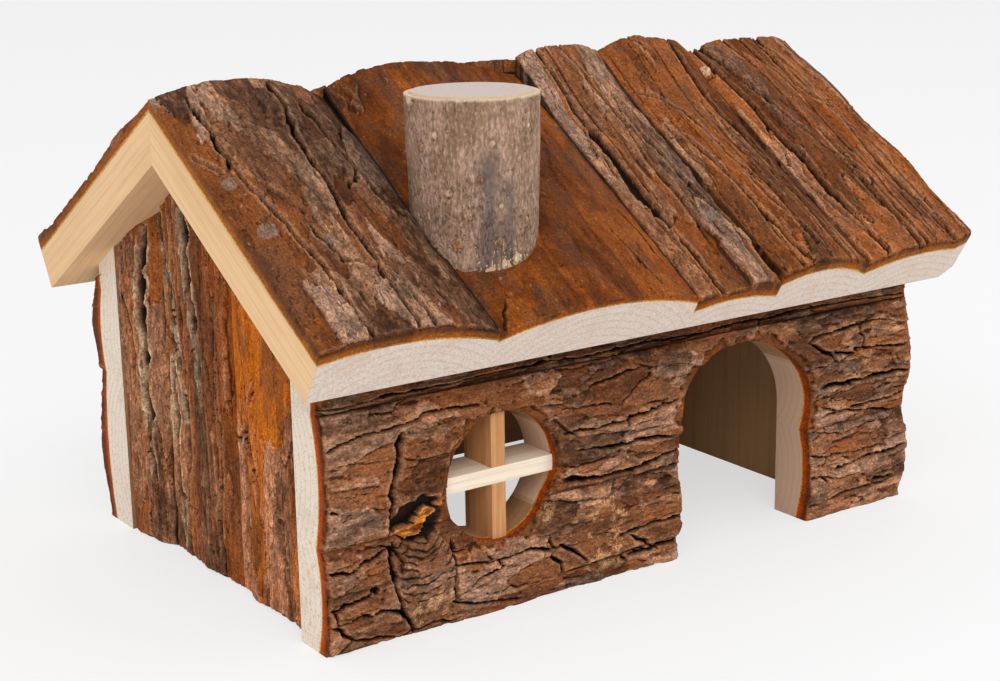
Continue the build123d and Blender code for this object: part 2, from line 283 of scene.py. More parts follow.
@dataclass
class Bark:
    """How one board's bark has grown and broken, in millimetres."""
    seed: int = 1
    thickness: float = 4.4
    inner: float = 3.3         # thickness where the outer bark is gone
    ribbed: bool = False       # long ribs instead of plates
    pitch: float = 8.0
    length: float = 30.0
    furrow_width: float = 0.8
    furrow_depth: float = 3.0
    furrow_open: float = 0.45  # share of the furrows that gape
    lift: float = 0.9          # how far neighbouring plates stand above each other
    flakes: tuple = ((3.4, 12, 0.3), (1.6, 5, 0.15))   # (width, length, step) of smaller flakes on them
    overlap: float = 0.0       # how much thicker each plate and flake is towards the first side
    flaked: float = 0.45       # share of the surface whose outermost skin is gone
    skin: tuple = (8, 22, 0.45)    # (width, length, thickness) of what is left of that skin
    veins: float = 0.35        # strength of the finest cracks
    layers: float = 0.16       # height of the steps between the bark's thin layers
    fibre: float = 0.14
    skew: float = 0.0
    wander: float = 2.5
    shoulder: float = 1.5      # width over which the bark thins towards a side that no saw cut
    seam: float = 2.2          # thickness left at such a side
    seam_shade: float = 0.95        # how dark the painted shade is in the line between it and the next board, and on its thinned side
    tear: float = 0.5          # how far the saw tore the plates back from the rims it cut
    ridge_drop: float = 0.0    # how much thinner the bark is at the roof's ridge
    aged: float = 0.4          # how grey its weathered plates are
    fresh: float = 0.5         # how rusty its skinned plates are
    light: tuple = (158, 118, 92)
    dark: tuple = (88, 54, 34)
    rust: tuple = (126, 68, 32)
    rim: tuple = (150, 80, 30)    # sawn inner bark
    peels: tuple = ()          # (across, along, across reach, along reach) of places where the bark came off
    shades: tuple = ()         # the same and how much darker it is there: darker bark, and in some styles painted shadow beside a higher neighbouring board
    swells: tuple = ()         # the same and how much thicker it is there
    dust: tuple = ()           # places where pale dust lies
    lichen: tuple = ()         # (across, along, radius)
    knots: tuple = ()          # (across, along, radius)
    eyes: tuple = ()           # (across, along, across reach, along reach) of smooth wrinkled skin by a knot
    twigs: tuple = ()          # (across, along, radius) of stubs of twigs
    splits: tuple = ()         # long cracks: (width, (across, along), (across, along), ...)
    worn: float = 9.0          # width from which a split's lips are worn pale


@dataclass
class Relief:
    """A bark surface: its thickness over the wood and the masks that its finish reads."""
    rise: np.ndarray
    crack: np.ndarray
    peel: np.ndarray
    tone: np.ndarray
    hue: np.ndarray
    edge: np.ndarray
    dust: np.ndarray
    lichen: np.ndarray
    bleach: np.ndarray


def patch(u, s, spots, seed, steps, ragged=0.9, width=0.5):
    """1 inside rough-edged patches, 0 outside."""
    mask = np.zeros_like(u)
    for i, (pu, ps, ru, rs) in enumerate(spots):
        edge = rough(u / 5, s / 12, seed + 7 * i, 4) - 0.5
        inside = 1 - np.hypot((u - pu) / ru, (s - ps) / rs) + edge * ragged
        mask = np.maximum(mask, crisp(inside, 0, width, steps))
    return mask


def path_distance(u, s, path):
    """Distance to a line through a few places, and the share of the way along it."""
    best = np.full(u.shape, FAR)
    share = np.zeros_like(u)
    count = len(path) - 1
    for i, ((u1, s1), (u2, s2)) in enumerate(zip(path, path[1:])):
        du, ds = u2 - u1, s2 - s1
        t = np.clip(((u - u1) * du + (s - s1) * ds) / (du * du + ds * ds), 0, 1)
        away = np.hypot(u - u1 - t * du, s - s1 - t * ds)
        share = np.where(away < best, (i + t) / count, share)
        best = np.minimum(best, away)
    return best, share


def hump(u, s, spot):
    """1 at a spot, fading to 0 round it; a spot is (across, along, across reach, along reach)."""
    spot_u, spot_s, reach_u, reach_s = spot
    return np.exp(-((u - spot_u) / reach_u) ** 2 - ((s - spot_s) / reach_s) ** 2)


def bell(value, middle, reach):
    """1 where a value is at its middle, fading to 0 on both sides."""
    return np.exp(-((value - middle) / reach) ** 2)


LAYER_LEVELS = (0.36, 0.44, 0.52, 0.6)    # where in a noise one thin layer of bark gives way to the next
LEAST_BARK = 0.5                          # no bark is thinner than this, in millimetres


class Growth:
    """A board's bark while it grows: where its points lie, and what each of them has so far."""

    def __init__(self, board, style, u, s, rim, steps):
        self.board, self.style, self.seed = board, style, style.seed * 101
        self.u, self.s, self.rim, self.steps = u, s, rim, steps
        self.near = ramp(rim, 0.2, 2.4)
        self.hair, self.bleach, self.lichen = (np.zeros_like(u) for _ in range(3))

    def rough(self, reach_u, reach_s, shift, octaves=3):
        """Rough noise on the board's own places."""
        return rough(self.u / reach_u, self.s / reach_s, self.seed + shift, octaves)

    def waves(self, reach_u, reach_s, shift):
        """Smooth noise on the board's own places."""
        return waves(self.u / reach_u, self.s / reach_s, self.seed + shift)

    def bent_rough(self, reach_u, reach_s, shift, octaves=3):
        """Rough noise on the bent places."""
        return rough(self.bent_u / reach_u, self.bent_s / reach_s, self.seed + shift, octaves)

    def bent_waves(self, reach_u, reach_s, shift):
        """Smooth noise on the bent places."""
        return waves(self.bent_u / reach_u, self.bent_s / reach_s, self.seed + shift)

    def softened(self, reach_s, reach_u):
        """The bark's thickness, averaged over a reach in millimetres."""
        return soften(self.thick, (round(reach_s / self.steps[0]), round(reach_u / self.steps[1])))

    def bend_grain(self):
        """Bends the places that the patterns are laid on, so that none of them runs straight."""
        style = self.style
        ragged = 0.4 if style.ribbed else 1.0
        bent = self.u + style.skew * self.s + style.wander * (2 * self.rough(26, 60, 1, 2) - 1)
        small = 1.1 * (2 * self.waves(5, 13, 2) - 1) + 0.35 * (2 * self.waves(1.5, 3, 3) - 1)
        self.bent_u = bent + ragged * small
        self.bent_s = self.s + 6 * (2 * self.waves(7, 26, 4) - 1) + 1.2 * (2 * self.waves(1.8, 4, 5) - 1)

    def lay_plates(self):
        """The plates or ribs, each with its own lift, tone and hue, and the furrows' places between them."""
        style = self.style
        across, along = self.bent_u / style.pitch, self.bent_s / style.length
        if style.ribbed:
            cell = ribs(across, along, self.seed + 7, style.length / style.pitch)
            away = cell.edge * style.pitch
        else:
            cell = plates(across, along, self.seed + 7)
            away = np.minimum(to_level(cell.edge, 0, self.steps), 9.0)
        chance = rough(across * 0.8, along * 0.8, self.seed + 8, 2)
        self.gape = ramp(chance, 0.72 - style.furrow_open * 0.6, 0.86 - style.furrow_open * 0.6)
        wide = style.furrow_width * (0.3 + 1.1 * self.bent_waves(5, 14, 9)) * (0.2 + 0.8 * self.gape)
        self.furrow = (1 - ramp(away, wide * 0.6, wide * 0.95 + 0.15)) * (0.3 + 0.7 * self.near)
        lift = style.lift * ((cell.lift - 0.5) + 0.8 * cell.tilt)
        self.thick = style.thickness + lift - style.overlap * cell.across
        self.thick = self.thick - 0.12 * (1 - ramp(away, 0, 0.6))
        self.shade = 0.75 * (cell.tone - 0.5)
        self.hue = 0.7 * (cell.hue - 0.5)

    def chip_flakes(self):
        """Smaller flakes on the plates, raised where the bark has chipped, with hair cracks between them
        whose lines are later painted dark as shadow under the flakes' edges.
        """
        for i, (across, along, step) in enumerate(self.style.flakes):
            grain = slivers if self.style.ribbed and i == 0 else plates
            flake = grain(self.bent_u / across, self.bent_s / along, self.seed + 12 + 7 * i)
            chipped = ramp(self.bent_rough(3 * across, 2 * along, 36 + i, 2), 0.4, 0.55)
            raised = flake.lift - 0.5 + 0.6 * flake.tilt - (1.6 * flake.across if self.style.overlap else 0)
            self.thick = self.thick + step * raised * (0.2 + 0.8 * chipped)
            self.shade = self.shade + (0.46 - 0.1 * i) * (flake.tone - 0.5) * (0.3 + 0.7 * chipped)
            self.hue = self.hue + (0.5 - 0.1 * i) * (flake.hue - 0.5) * (0.3 + 0.7 * chipped)
            line = 1 - ramp(to_level(flake.edge, 0, self.steps), 0.05, 0.3)
            here = ramp(self.bent_waves(2 * across, along, 40 + i), 0.58, 0.8)
            self.hair = np.maximum(self.hair, line * here)
        self.thick = self.thick - 0.22 * self.hair

    def shed_layers(self):
        """Low steps between thin layers, and the outermost skin where the bark still has it."""
        style = self.style
        strata = self.bent_rough(4.5, 17, 27, 5)
        for i, level in enumerate(LAYER_LEVELS):
            step = crisp(strata, level, 0.3, self.steps)
            self.thick = self.thick + style.layers * (step - 0.5)
            tone = scatter(np.array(i), np.array(0), self.seed + 28) - 0.3
            self.shade = self.shade + 0.16 * tone * (step - 0.5)
        across, along, thickness = style.skin
        skin = self.bent_rough(across, along, 25, 5)
        self.bare = crisp(skin, 0.64 - 0.27 * style.flaked, 0.35, self.steps)
        self.thick = self.thick - thickness * self.bare

    def roughen(self):
        """Fibres along the grain, grit, and the bark's own broad unevenness."""
        self.fibre = self.bent_waves(0.9, 15, 18) + 0.7 * self.bent_waves(0.45, 6, 19) - 0.85
        self.grit = self.bent_waves(0.6, 1.2, 20) - 0.5
        broad = 0.9 * (self.rough(14, 32, 21, 2) - 0.5)
        self.thick = self.thick + self.style.fibre * self.fibre + 0.08 * self.grit + broad
        for *spot, amount in self.style.swells:
            self.thick = self.thick + amount * hump(self.u, self.s, spot)

    def cut_furrows(self):
        """The furrows, sunk no deeper than the bark allows."""
        deep = np.minimum(self.style.furrow_depth * (0.25 + 0.75 * self.gape), self.thick - 0.8)
        self.thick = self.thick - self.furrow * deep
        # The crack mask, painted near black in the finish: the furrows' dark bottoms with painted shade, and
        # painted shadow lines along the flakes' edges
        self.crack = np.maximum(self.furrow * (0.35 + 0.65 * self.gape), 0.8 * self.hair * self.near)

    def bare_inner_bark(self):
        """Where the outer bark is gone, the smooth inner bark shows, with a torn edge around it."""
        style = self.style
        peel = patch(self.u, self.s, style.peels, self.seed + 22, self.steps)
        inner = style.inner + 0.6 * (self.rough(10, 34, 23, 2) - 0.5)
        inner = inner + 0.5 * style.fibre * self.fibre + 0.08 * self.grit
        inner = inner + 0.25 * (crisp(self.bent_rough(6, 30, 24), 0.52, 0.4, self.steps) - 0.5)
        inner = inner - 0.25 * self.hair
        self.thick = blend(self.thick, np.minimum(inner, self.thick), peel)
        self.crack = self.crack * (1 - 0.7 * peel)
        self.peel = np.maximum(peel, 0.8 * self.bare)

    def wrinkle_skin(self):
        """Smooth skin in folds that run round a knot."""
        for i, (eye_u, eye_s, reach_u, reach_s) in enumerate(self.style.eyes):
            bend = 0.5 * (self.rough(6, 6, 95 + i) - 0.5)
            inside = 1 - np.hypot((self.u - eye_u) / reach_u, (self.s - eye_s) / reach_s) + bend
            inside = crisp(inside, 0, 0.6, self.steps)
            knot_u, knot_s, _ = self.style.knots[0]
            rings = np.hypot((self.u - knot_u) * 0.9, self.s - knot_s) / 1.7 + 1.6 * self.rough(5, 4, 96)
            fold = ramp(np.abs(rings % 1 - 0.5), 0.28, 0.5) * ramp(self.rough(3, 3, 97, 2), 0.3, 0.6)
            smooth = self.style.thickness + 0.3 + 0.7 * (self.rough(5, 5, 98) - 0.5) - 0.7 * fold
            self.thick = blend(self.thick, smooth, inside)
            # The folds' creases are painted dark as shade
            self.crack = self.crack * (1 - inside) + 0.9 * fold * inside
            self.peel = self.peel * (1 - inside)
            self.shade = self.shade * (1 - 0.6 * inside) - 0.14 * inside

    def add_knots(self):
        """Branch scars: a pit painted dark as shade, with a torn wooden heart in it and a thick collar of
        bark around it.
        """
        for i, (knot_u, knot_s, radius) in enumerate(self.style.knots):
            across, along = self.u - knot_u, self.s - knot_s
            shift = 40 + 3 * i
            away = np.hypot(across, along * 0.8) + 2.2 * (self.rough(3, 3, shift) - 0.5)
            pit = 1 - ramp(away, radius * 0.78, radius * 0.98)
            collar = bell(away, radius * 1.25, radius * 0.22)
            torn = 0.9 * (self.rough(1.6, 2.4, shift + 2) - 0.5)
            heart = np.zeros_like(self.u)
            for lobe_u, lobe_s, reach_u, reach_s in KNOT_LOBES:
                inside = 1 - np.hypot((across - lobe_u) / reach_u, (along - lobe_s) / reach_s)
                heart = np.maximum(heart, ramp(inside + torn, -0.04, 0.12))
            heart = heart * ramp(away, radius * 1.5, radius * 1.2)
            grain = 0.5 * (rough(across * 0.9 + along * 0.4, along * 0.25, self.seed + shift + 5, 3) - 0.5)
            self.thick = self.thick * (1 - pit) + 1.0 * pit + 0.6 * collar
            self.thick = blend(self.thick, 3.6 + grain, heart)
            # The pit is painted dark as shade
            self.crack = np.maximum(self.crack, 0.85 * pit) * (1 - heart)
            self.peel = np.maximum(self.peel * (1 - pit), 1.3 * heart)

    def open_splits(self):
        """The long cracks; the lips of wide ones are worn pale."""
        straight, reach = (0.9, 16) if self.style.ribbed else (1.3, 6)
        for i, (wide, *path) in enumerate(self.style.splits):
            bend_u = straight * (2 * self.rough(5, reach, 60 + i, 4) - 1)
            bend_s = 1.3 * (2 * self.rough(5, 5, 80 + i, 4) - 1)
            away, share = path_distance(self.u + bend_u, self.s + bend_s, path)
            taper = ramp(np.minimum(share, 1 - share), -0.08, 0.1)
            local = 0.72 * wide * (0.15 + 1.4 * self.rough(3, 5, 70 + i, 2)) * taper
            gap = (1 - ramp(away, local * 0.7, local + 0.15)) * (0.35 + 0.65 * self.near)
            self.thick = self.thick - gap * np.clip(self.thick - 0.9, 0, 3.2)
            self.crack = np.maximum(self.crack, gap)
            self.peel = self.peel * (1 - gap)
            if wide > self.style.worn:
                lip = bell(away - local, 0.3, 0.45) * ramp(self.rough(1.2, 20, 88 + i, 4), 0.34, 0.52)
                self.bleach = np.maximum(self.bleach, lip)

    def add_twigs(self):
        """Short stubs of twigs, each in a small hollow."""
        for twig_u, twig_s, radius in self.style.twigs:
            away = np.hypot(self.u - twig_u, self.s - twig_s)
            stub = 1 - ramp(away, radius * 0.8, radius * 1.1)
            raised = stub * (1.3 + 0.3 * np.cos(away / radius * 5))
            self.thick = self.thick + raised - 0.8 * bell(away, 1.5 * radius, 0.5)
            self.crack = self.crack * (1 - stub)
            self.peel = np.maximum(self.peel, 1.25 * stub)
            self.bleach = np.maximum(self.bleach, 0.8 * stub)

    def stain(self):
        """Darker places, some of them painted shadow beside a higher neighbouring board, and spots of lichen
        that stand up a little.
        """
        for *spot, amount in self.style.shades:
            self.shade = self.shade - amount * hump(self.u, self.s, spot)
        for i, (spot_u, spot_s, radius) in enumerate(self.style.lichen):
            uneven = 0.9 * (self.rough(2, 2, 90 + i, 2) - 0.5)
            spot = ramp(radius - np.hypot(self.u - spot_u, self.s - spot_s) + uneven, -0.2, 0.3)
            self.lichen = np.maximum(self.lichen, spot)
            self.thick = self.thick + 0.2 * spot

    def thin_sides(self):
        """The bark thins towards the sides that no saw cut, with painted shade in a dark line at the next
        board and on the thinned side.
        """
        style, cut = self.style, self.board.cut_sides
        first = np.full(self.u.shape, FAR) if "first" in cut else self.u
        second = np.full(self.u.shape, FAR) if "second" in cut else self.board.width - self.u
        side = np.minimum(first, second)
        rounding = ramp(side + 0.9 * (self.waves(3, 5, 30) - 0.5), -0.3, style.shoulder)
        low = min(style.seam, 0.8 * style.thickness) + 0.5 * (self.waves(5, 6, 31) - 0.5)
        self.thick = low + (self.thick - low) * (0.3 + 0.7 * rounding)
        # Painted shade in the gap to the next board
        seam_shade = 1 - ramp(side + 0.5 * (self.waves(2, 3, 29) - 0.5), 0.25, 0.8)
        self.crack = np.maximum(self.crack, style.seam_shade * seam_shade * ramp(self.rim, 0.5, 2.5))
        # Painted shade on the side where the bark thins and slopes down
        self.shade = self.shade - 0.4 * style.seam_shade * (1 - rounding)

    def tear_rims(self):
        """Relief flattens towards the rims that a saw cut, and the saw tears the plates back from them."""
        level = self.softened(4, 3)
        self.thick = level + (self.thick - level) * (0.4 + 0.6 * self.near)
        tear = self.style.tear * (3.8 * self.rough(3.2, 3.2, 33, 4) - 1.5)
        whole = ramp(self.rim, tear, tear + 0.4)
        ledge = self.thick - 0.7 - 0.5 * self.waves(2.5, 2.5, 34)
        ledge = np.maximum(ledge, 0.7 * np.minimum(self.thick, 1.6))
        self.thick = blend(ledge, self.thick, whole)
        self.peel = np.maximum(self.peel, 1 - whole)
        self.crack = self.crack * (0.3 + 0.7 * whole)

    def level_meeting(self):
        """At the ridge the saw left the two barks level with each other."""
        level = self.softened(7, 5)
        away = self.board.to_meeting(self.s)
        meeting = 1 - ramp(away, 0.0, 9.0)
        drop = self.style.ridge_drop * (1 - ramp(away, 0.0, 26.0))
        self.thick = self.thick + (level - self.thick) * 0.7 * meeting - drop

    def relief(self):
        """What has grown; the edge mask marks where the bark stands proud of its surroundings and where
        hollows lie under it, for a painted highlight and painted shade.
        """
        edge = np.clip((self.thick - self.softened(0.8, 0.7)) / 0.7, -1, 1)
        dust = patch(self.u, self.s, self.style.dust, self.seed + 50, self.steps, ragged=2.4, width=1.6)
        dust = dust * ramp(self.rough(1.6, 1.6, 51), 0.3, 0.8)
        tone, hue, crack = (np.clip(value, 0, 1) for value in (0.5 + self.shade, 0.5 + self.hue, self.crack))
        rise, peel = np.maximum(self.thick, LEAST_BARK), np.clip(self.peel, 0, 1.3)
        return Relief(rise, crack, peel, tone, hue, edge, dust, self.lichen, self.bleach)


def grow(board, style, u, s, rim, steps):
    """The bark's relief on a board: furrows, plates, flakes and fibres, worn back along the sawn rims."""
    bark = Growth(board, style, u, s, rim, steps)
    for stage in (bark.bend_grain, bark.lay_plates, bark.chip_flakes, bark.shed_layers, bark.roughen,
                  bark.cut_furrows, bark.bare_inner_bark, bark.wrinkle_skin, bark.add_knots, bark.open_splits,
                  bark.add_twigs, bark.stain, bark.thin_sides, bark.tear_rims, bark.level_meeting):
        stage()
    return bark.relief()


# (across, along, across reach, along reach) of the splinters in a knot, from its middle
KNOT_LOBES = ((-2.8, -2.4, 2.0, 4.2), (-0.6, 0.4, 1.6, 2.4), (1.0, 2.6, 1.6, 3.2), (2.8, 6.0, 1.0, 2.2))


# ---------------- bark pieces

def deselect():
    """Nothing selected, nothing active, object mode."""
    if bpy.context.object and bpy.context.object.mode != "OBJECT":
        bpy.ops.object.mode_set(mode="OBJECT")
    bpy.ops.object.select_all(action="DESELECT")


def read_points(mesh):
    """All vertex places of a mesh as rows."""
    flat = np.empty(len(mesh.vertices) * 3)
    mesh.vertices.foreach_get("co", flat)
    return flat.reshape(-1, 3)


def write_points(mesh, rows):
    """Sets all vertex places of a mesh from rows."""
    mesh.vertices.foreach_set("co", np.asarray(rows, np.float64).ravel())
    mesh.update()


def write_mask(mesh, name, values):
    """Stores one number at each point under a name that a shader reads."""
    layer = mesh.attributes.get(name) or mesh.attributes.new(name, "FLOAT", "POINT")
    layer.data.foreach_set("value", np.asarray(values, np.float32).ravel())


def read_mask(mesh, name):
    """The numbers stored at each point under a name."""
    values = np.empty(len(mesh.vertices), np.float32)
    mesh.attributes[name].data.foreach_get("value", values)
    return values.astype(float)


def lay_grid(name, count_a, count_b):
    """A new flat grid: the piece, its points' rows and columns, and the 0-1 shares across and along."""
    deselect()
    bpy.ops.mesh.primitive_grid_add(x_subdivisions=count_a, y_subdivisions=count_b, size=1)
    piece = bpy.context.object
    piece.name = piece.data.name = name
    flat = read_points(piece.data)
    at = tuple(np.rint((flat[:, axis] + 0.5) * count).astype(int)
               for axis, count in ((1, count_b), (0, count_a)))
    a, b = np.meshgrid(np.linspace(0, 1, count_a + 1), np.linspace(0, 1, count_b + 1))
    return piece, at, a, b


def extrude_open_rims(mesh):
    """Extrudes the rims of a mesh in place and gives the number of the first new point."""
    bpy.ops.object.mode_set(mode="EDIT")
    bpy.ops.mesh.select_mode(type="EDGE")
    bpy.ops.mesh.select_all(action="DESELECT")
    bpy.ops.mesh.select_non_manifold(extend=False, use_wire=False, use_multi_face=False,
                                     use_non_contiguous=False, use_verts=False)
    bpy.ops.object.mode_set(mode="OBJECT")
    first_new = len(mesh.vertices)
    bpy.ops.object.mode_set(mode="EDIT")
    bpy.ops.mesh.extrude_edges_move()
    bpy.ops.object.mode_set(mode="OBJECT")
    return first_new


def face_outwards():
    """Points every face of the edited mesh outwards and leaves edit mode."""
    bpy.ops.mesh.select_all(action="SELECT")
    bpy.ops.mesh.normals_make_consistent(inside=False)
    bpy.ops.object.mode_set(mode="OBJECT")


OPENING_TEAR = 4.0      # how much further the bark came off around the doorway and the window
SIDE_MARGIN = 0.7       # how much less the saw tore the bark at a board's sides
SNAP_SHARE = 0.72       # share of a cell within which a point moves on to an opening's outline
BARK_CREASE = 32        # degrees between faces from which an edge of the bark is sharp
STUB_CREASE = 40


def rim_distance(board, u, s):
    """Distance to the nearest rim that a saw has cut through the bark."""
    rim = np.full(u.shape, FAR)
    start, end = along_limits(board, u, np.full(u.shape, NOMINAL_HEIGHT))
    sides = {"first": u + SIDE_MARGIN, "second": board.width - u + SIDE_MARGIN,
             "foot": s - start, "head": end - s}
    for side in board.cut_sides:
        rim = np.minimum(rim, sides[side])
    for opening in board.openings:
        rim = np.minimum(rim, opening(u, s) / OPENING_TEAR)
    return np.maximum(rim, 0)


def bark_piece(board, style, material, spacing):
    """A board's bark: a grid laid over the wood, raised by its relief, its rim turned down to the wood."""
    _, ends = along_limits(board, np.array([0.0, board.width / 2, board.width]), NOMINAL_HEIGHT)
    length = float(np.max(ends))
    count_a, count_b = (max(8, round(reach / spacing)) for reach in (board.width, length))
    piece, at, a, b = lay_grid(f"{board.node}_bark_relief", count_a, count_b)
    mesh = piece.data
    cell = board.width / count_a

    u, s = place(board, a, b, np.full(a.shape, NOMINAL_HEIGHT))
    u, s, kept = fit_openings(board, u, s, cell)
    rim = rim_distance(board, u, s)
    relief = grow(board, style, u, s, rim, (length / count_b, cell))
    guides = {"sawn": rim < 1, "share_a": u / board.width, "share_b": share_along(board, u, s),
              "crown": crown_heights(board, u, s)}
    for name, values in {**vars(relief), **guides}.items():
        write_mask(mesh, name, values[at])
    if kept is not None:
        drop_points(mesh, ~kept[at])
    settle(board, mesh, read_mask(mesh, "rise"))
    turn_rim_down(board, mesh)
    for name in guides:
        mesh.attributes.remove(mesh.attributes[name])
    mesh.materials.append(material)
    bpy.ops.object.shade_smooth_by_angle(angle=math.radians(BARK_CREASE))
    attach(piece, BODY)
    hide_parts(f"{board.node}_bark")


def share_along(board, u, s):
    """How far along its grain a place lies, from 0 to 1."""
    start, end = along_limits(board, u, np.full(u.shape, NOMINAL_HEIGHT))
    return (s - start) / (end - start)


def settle(board, mesh, rise, chosen=slice(None)):
    """Puts points at their place on the board, at their rise above the wood, and stores board coordinates."""
    points = read_points(mesh)
    a, b, crown = (read_mask(mesh, name)[chosen] for name in ("share_a", "share_b", "crown"))
    height = crown + rise[chosen]
    u, s = place(board, a, b, height)
    points[chosen] = to_space(board, u, s, height)
    write_points(mesh, points)
    layer = mesh.attributes.get("board_mm") or mesh.attributes.new("board_mm", "FLOAT_VECTOR", "POINT")
    rows = np.empty(len(mesh.vertices) * 3, np.float32)
    layer.data.foreach_get("vector", rows)
    rows = rows.reshape(-1, 3)
    rows[chosen] = np.stack([u, s, rise[chosen]], axis=1)
    layer.data.foreach_set("vector", rows.ravel())


def turn_rim_down(board, mesh):
    """Extrudes the open rims down to the wood and closes the underside."""
    top = extrude_open_rims(mesh)
    rise = read_mask(mesh, "rise")
    rise[top:] = 0
    write_mask(mesh, "rise", rise)
    ends = np.empty(len(mesh.edges) * 2, np.int64)
    mesh.edges.foreach_get("vertices", ends)
    ends = ends.reshape(-1, 2)
    cut = np.zeros(len(mesh.vertices))
    cut[ends[(ends.min(axis=1) < top) & (ends.max(axis=1) >= top)].ravel()] = 1
    write_mask(mesh, "cut", cut * read_mask(mesh, "sawn"))
    settle(board, mesh, rise, slice(top, None))
    bpy.ops.object.mode_set(mode="EDIT")
    bpy.ops.mesh.fill(use_beauty=False)
    face_outwards()


def fit_openings(board, u, s, cell):
    """Moves grid points that lie near an opening's outline onto it, and says which points stay."""
    if not board.openings:
        return u, s, None

    def outside(u, s):
        return np.minimum.reduce([opening(u, s) for opening in board.openings])

    away, step = outside(u, s), 0.01
    lean_u, lean_s = outside(u + step, s) - away, outside(u, s + step) - away
    size = np.maximum(np.hypot(lean_u, lean_s), 1e-9)
    near = np.abs(away) < SNAP_SHARE * cell
    u = np.where(near, u - away * lean_u / size, u)
    s = np.where(near, s - away * lean_s / size, s)
    inside_board = (u >= 0) & (u <= board.width)
    return np.clip(u, 0, board.width), s, (away > -SNAP_SHARE * cell) | ~inside_board & (away > 0)


def drop_points(mesh, lost):
    """Deletes the points inside an opening, with their faces."""
    bpy.ops.object.mode_set(mode="EDIT")
    bpy.ops.mesh.select_mode(type="VERT")
    bpy.ops.mesh.select_all(action="DESELECT")
    bpy.ops.object.mode_set(mode="OBJECT")
    mesh.vertices.foreach_set("select", lost)
    bpy.ops.object.mode_set(mode="EDIT")
    bpy.ops.mesh.delete(type="VERT")
    bpy.ops.object.mode_set(mode="OBJECT")


# ---------------- the chimney's bark

STUB_TAPER = 0.8      # how much thinner the branch is at its foot, in millimetres
SCAR_RADIUS = 17      # distance of the scars from the branch's middle
GRID_SHARE = 1.2      # the tube's longest side over its shortest, where it stands on the slope
CHIP_ANGLE = 27       # degrees from the front of a chip at the foot
STUB_SCARS = (        # (degrees from the front, height, radius, rise, orange, pale) of buds, scars and chips
    (-67, 124.7, 1.0, 0.35, 0.3, 0.8), (-17, 122.8, 0.9, 0.1, 1.0, 0.5), (21, 126.1, 0.7, 0.1, 0.8, 0.9),
    (-95, 131.4, 1.1, -0.8, 0.7, 0.0), (-28, 114.1, 0.9, 0.3, 1.0, 0.0), (-56, 110.6, 1.2, 0.3, 1.0, 0.4),
    (-7, 109.9, 1.0, -0.4, 0.0, -1.0), (-9, 107.3, 0.8, 0.1, 0.9, 0.7), (-40, 105.2, 1.6, 0.4, 0.5, -0.3),
    (-48, 97.4, 1.7, 0.35, 0.9, 0.0), (-11, 98.2, 1.3, 0.3, 0.7, 0.0), (-80, 126.0, 0.5, 0.2, 0.6, 0.6),
    (-84, 121.5, 1.1, 0.2, 0.6, 0.0), (18, 103.0, 1.0, 0.3, 0.5, 0.0), (6, 93.2, 1.0, 0.3, 0.0, 1.2),
    (-5, 92.4, 0.9, 0.3, 0.0, 1.2), (11, 93.8, 0.6, 0.2, 0.0, 1.2), (-100, 133.2, 2.2, 0.2, 0.0, 1.0),
    (75, 118, 1.4, 0.4, 0.7, 0.2), (128, 106, 1.6, 0.4, 0.6, 0.0), (165, 122, 1.1, 0.3, 0.8, 0.3))


def around(noise, x, y, whole):
    """Noise on a tube: near the end of the way round it fades into its own start."""
    fade = ramp(x, whole - 9, whole)
    return noise(x, y) * (1 - fade) + noise(x - whole, y) * fade


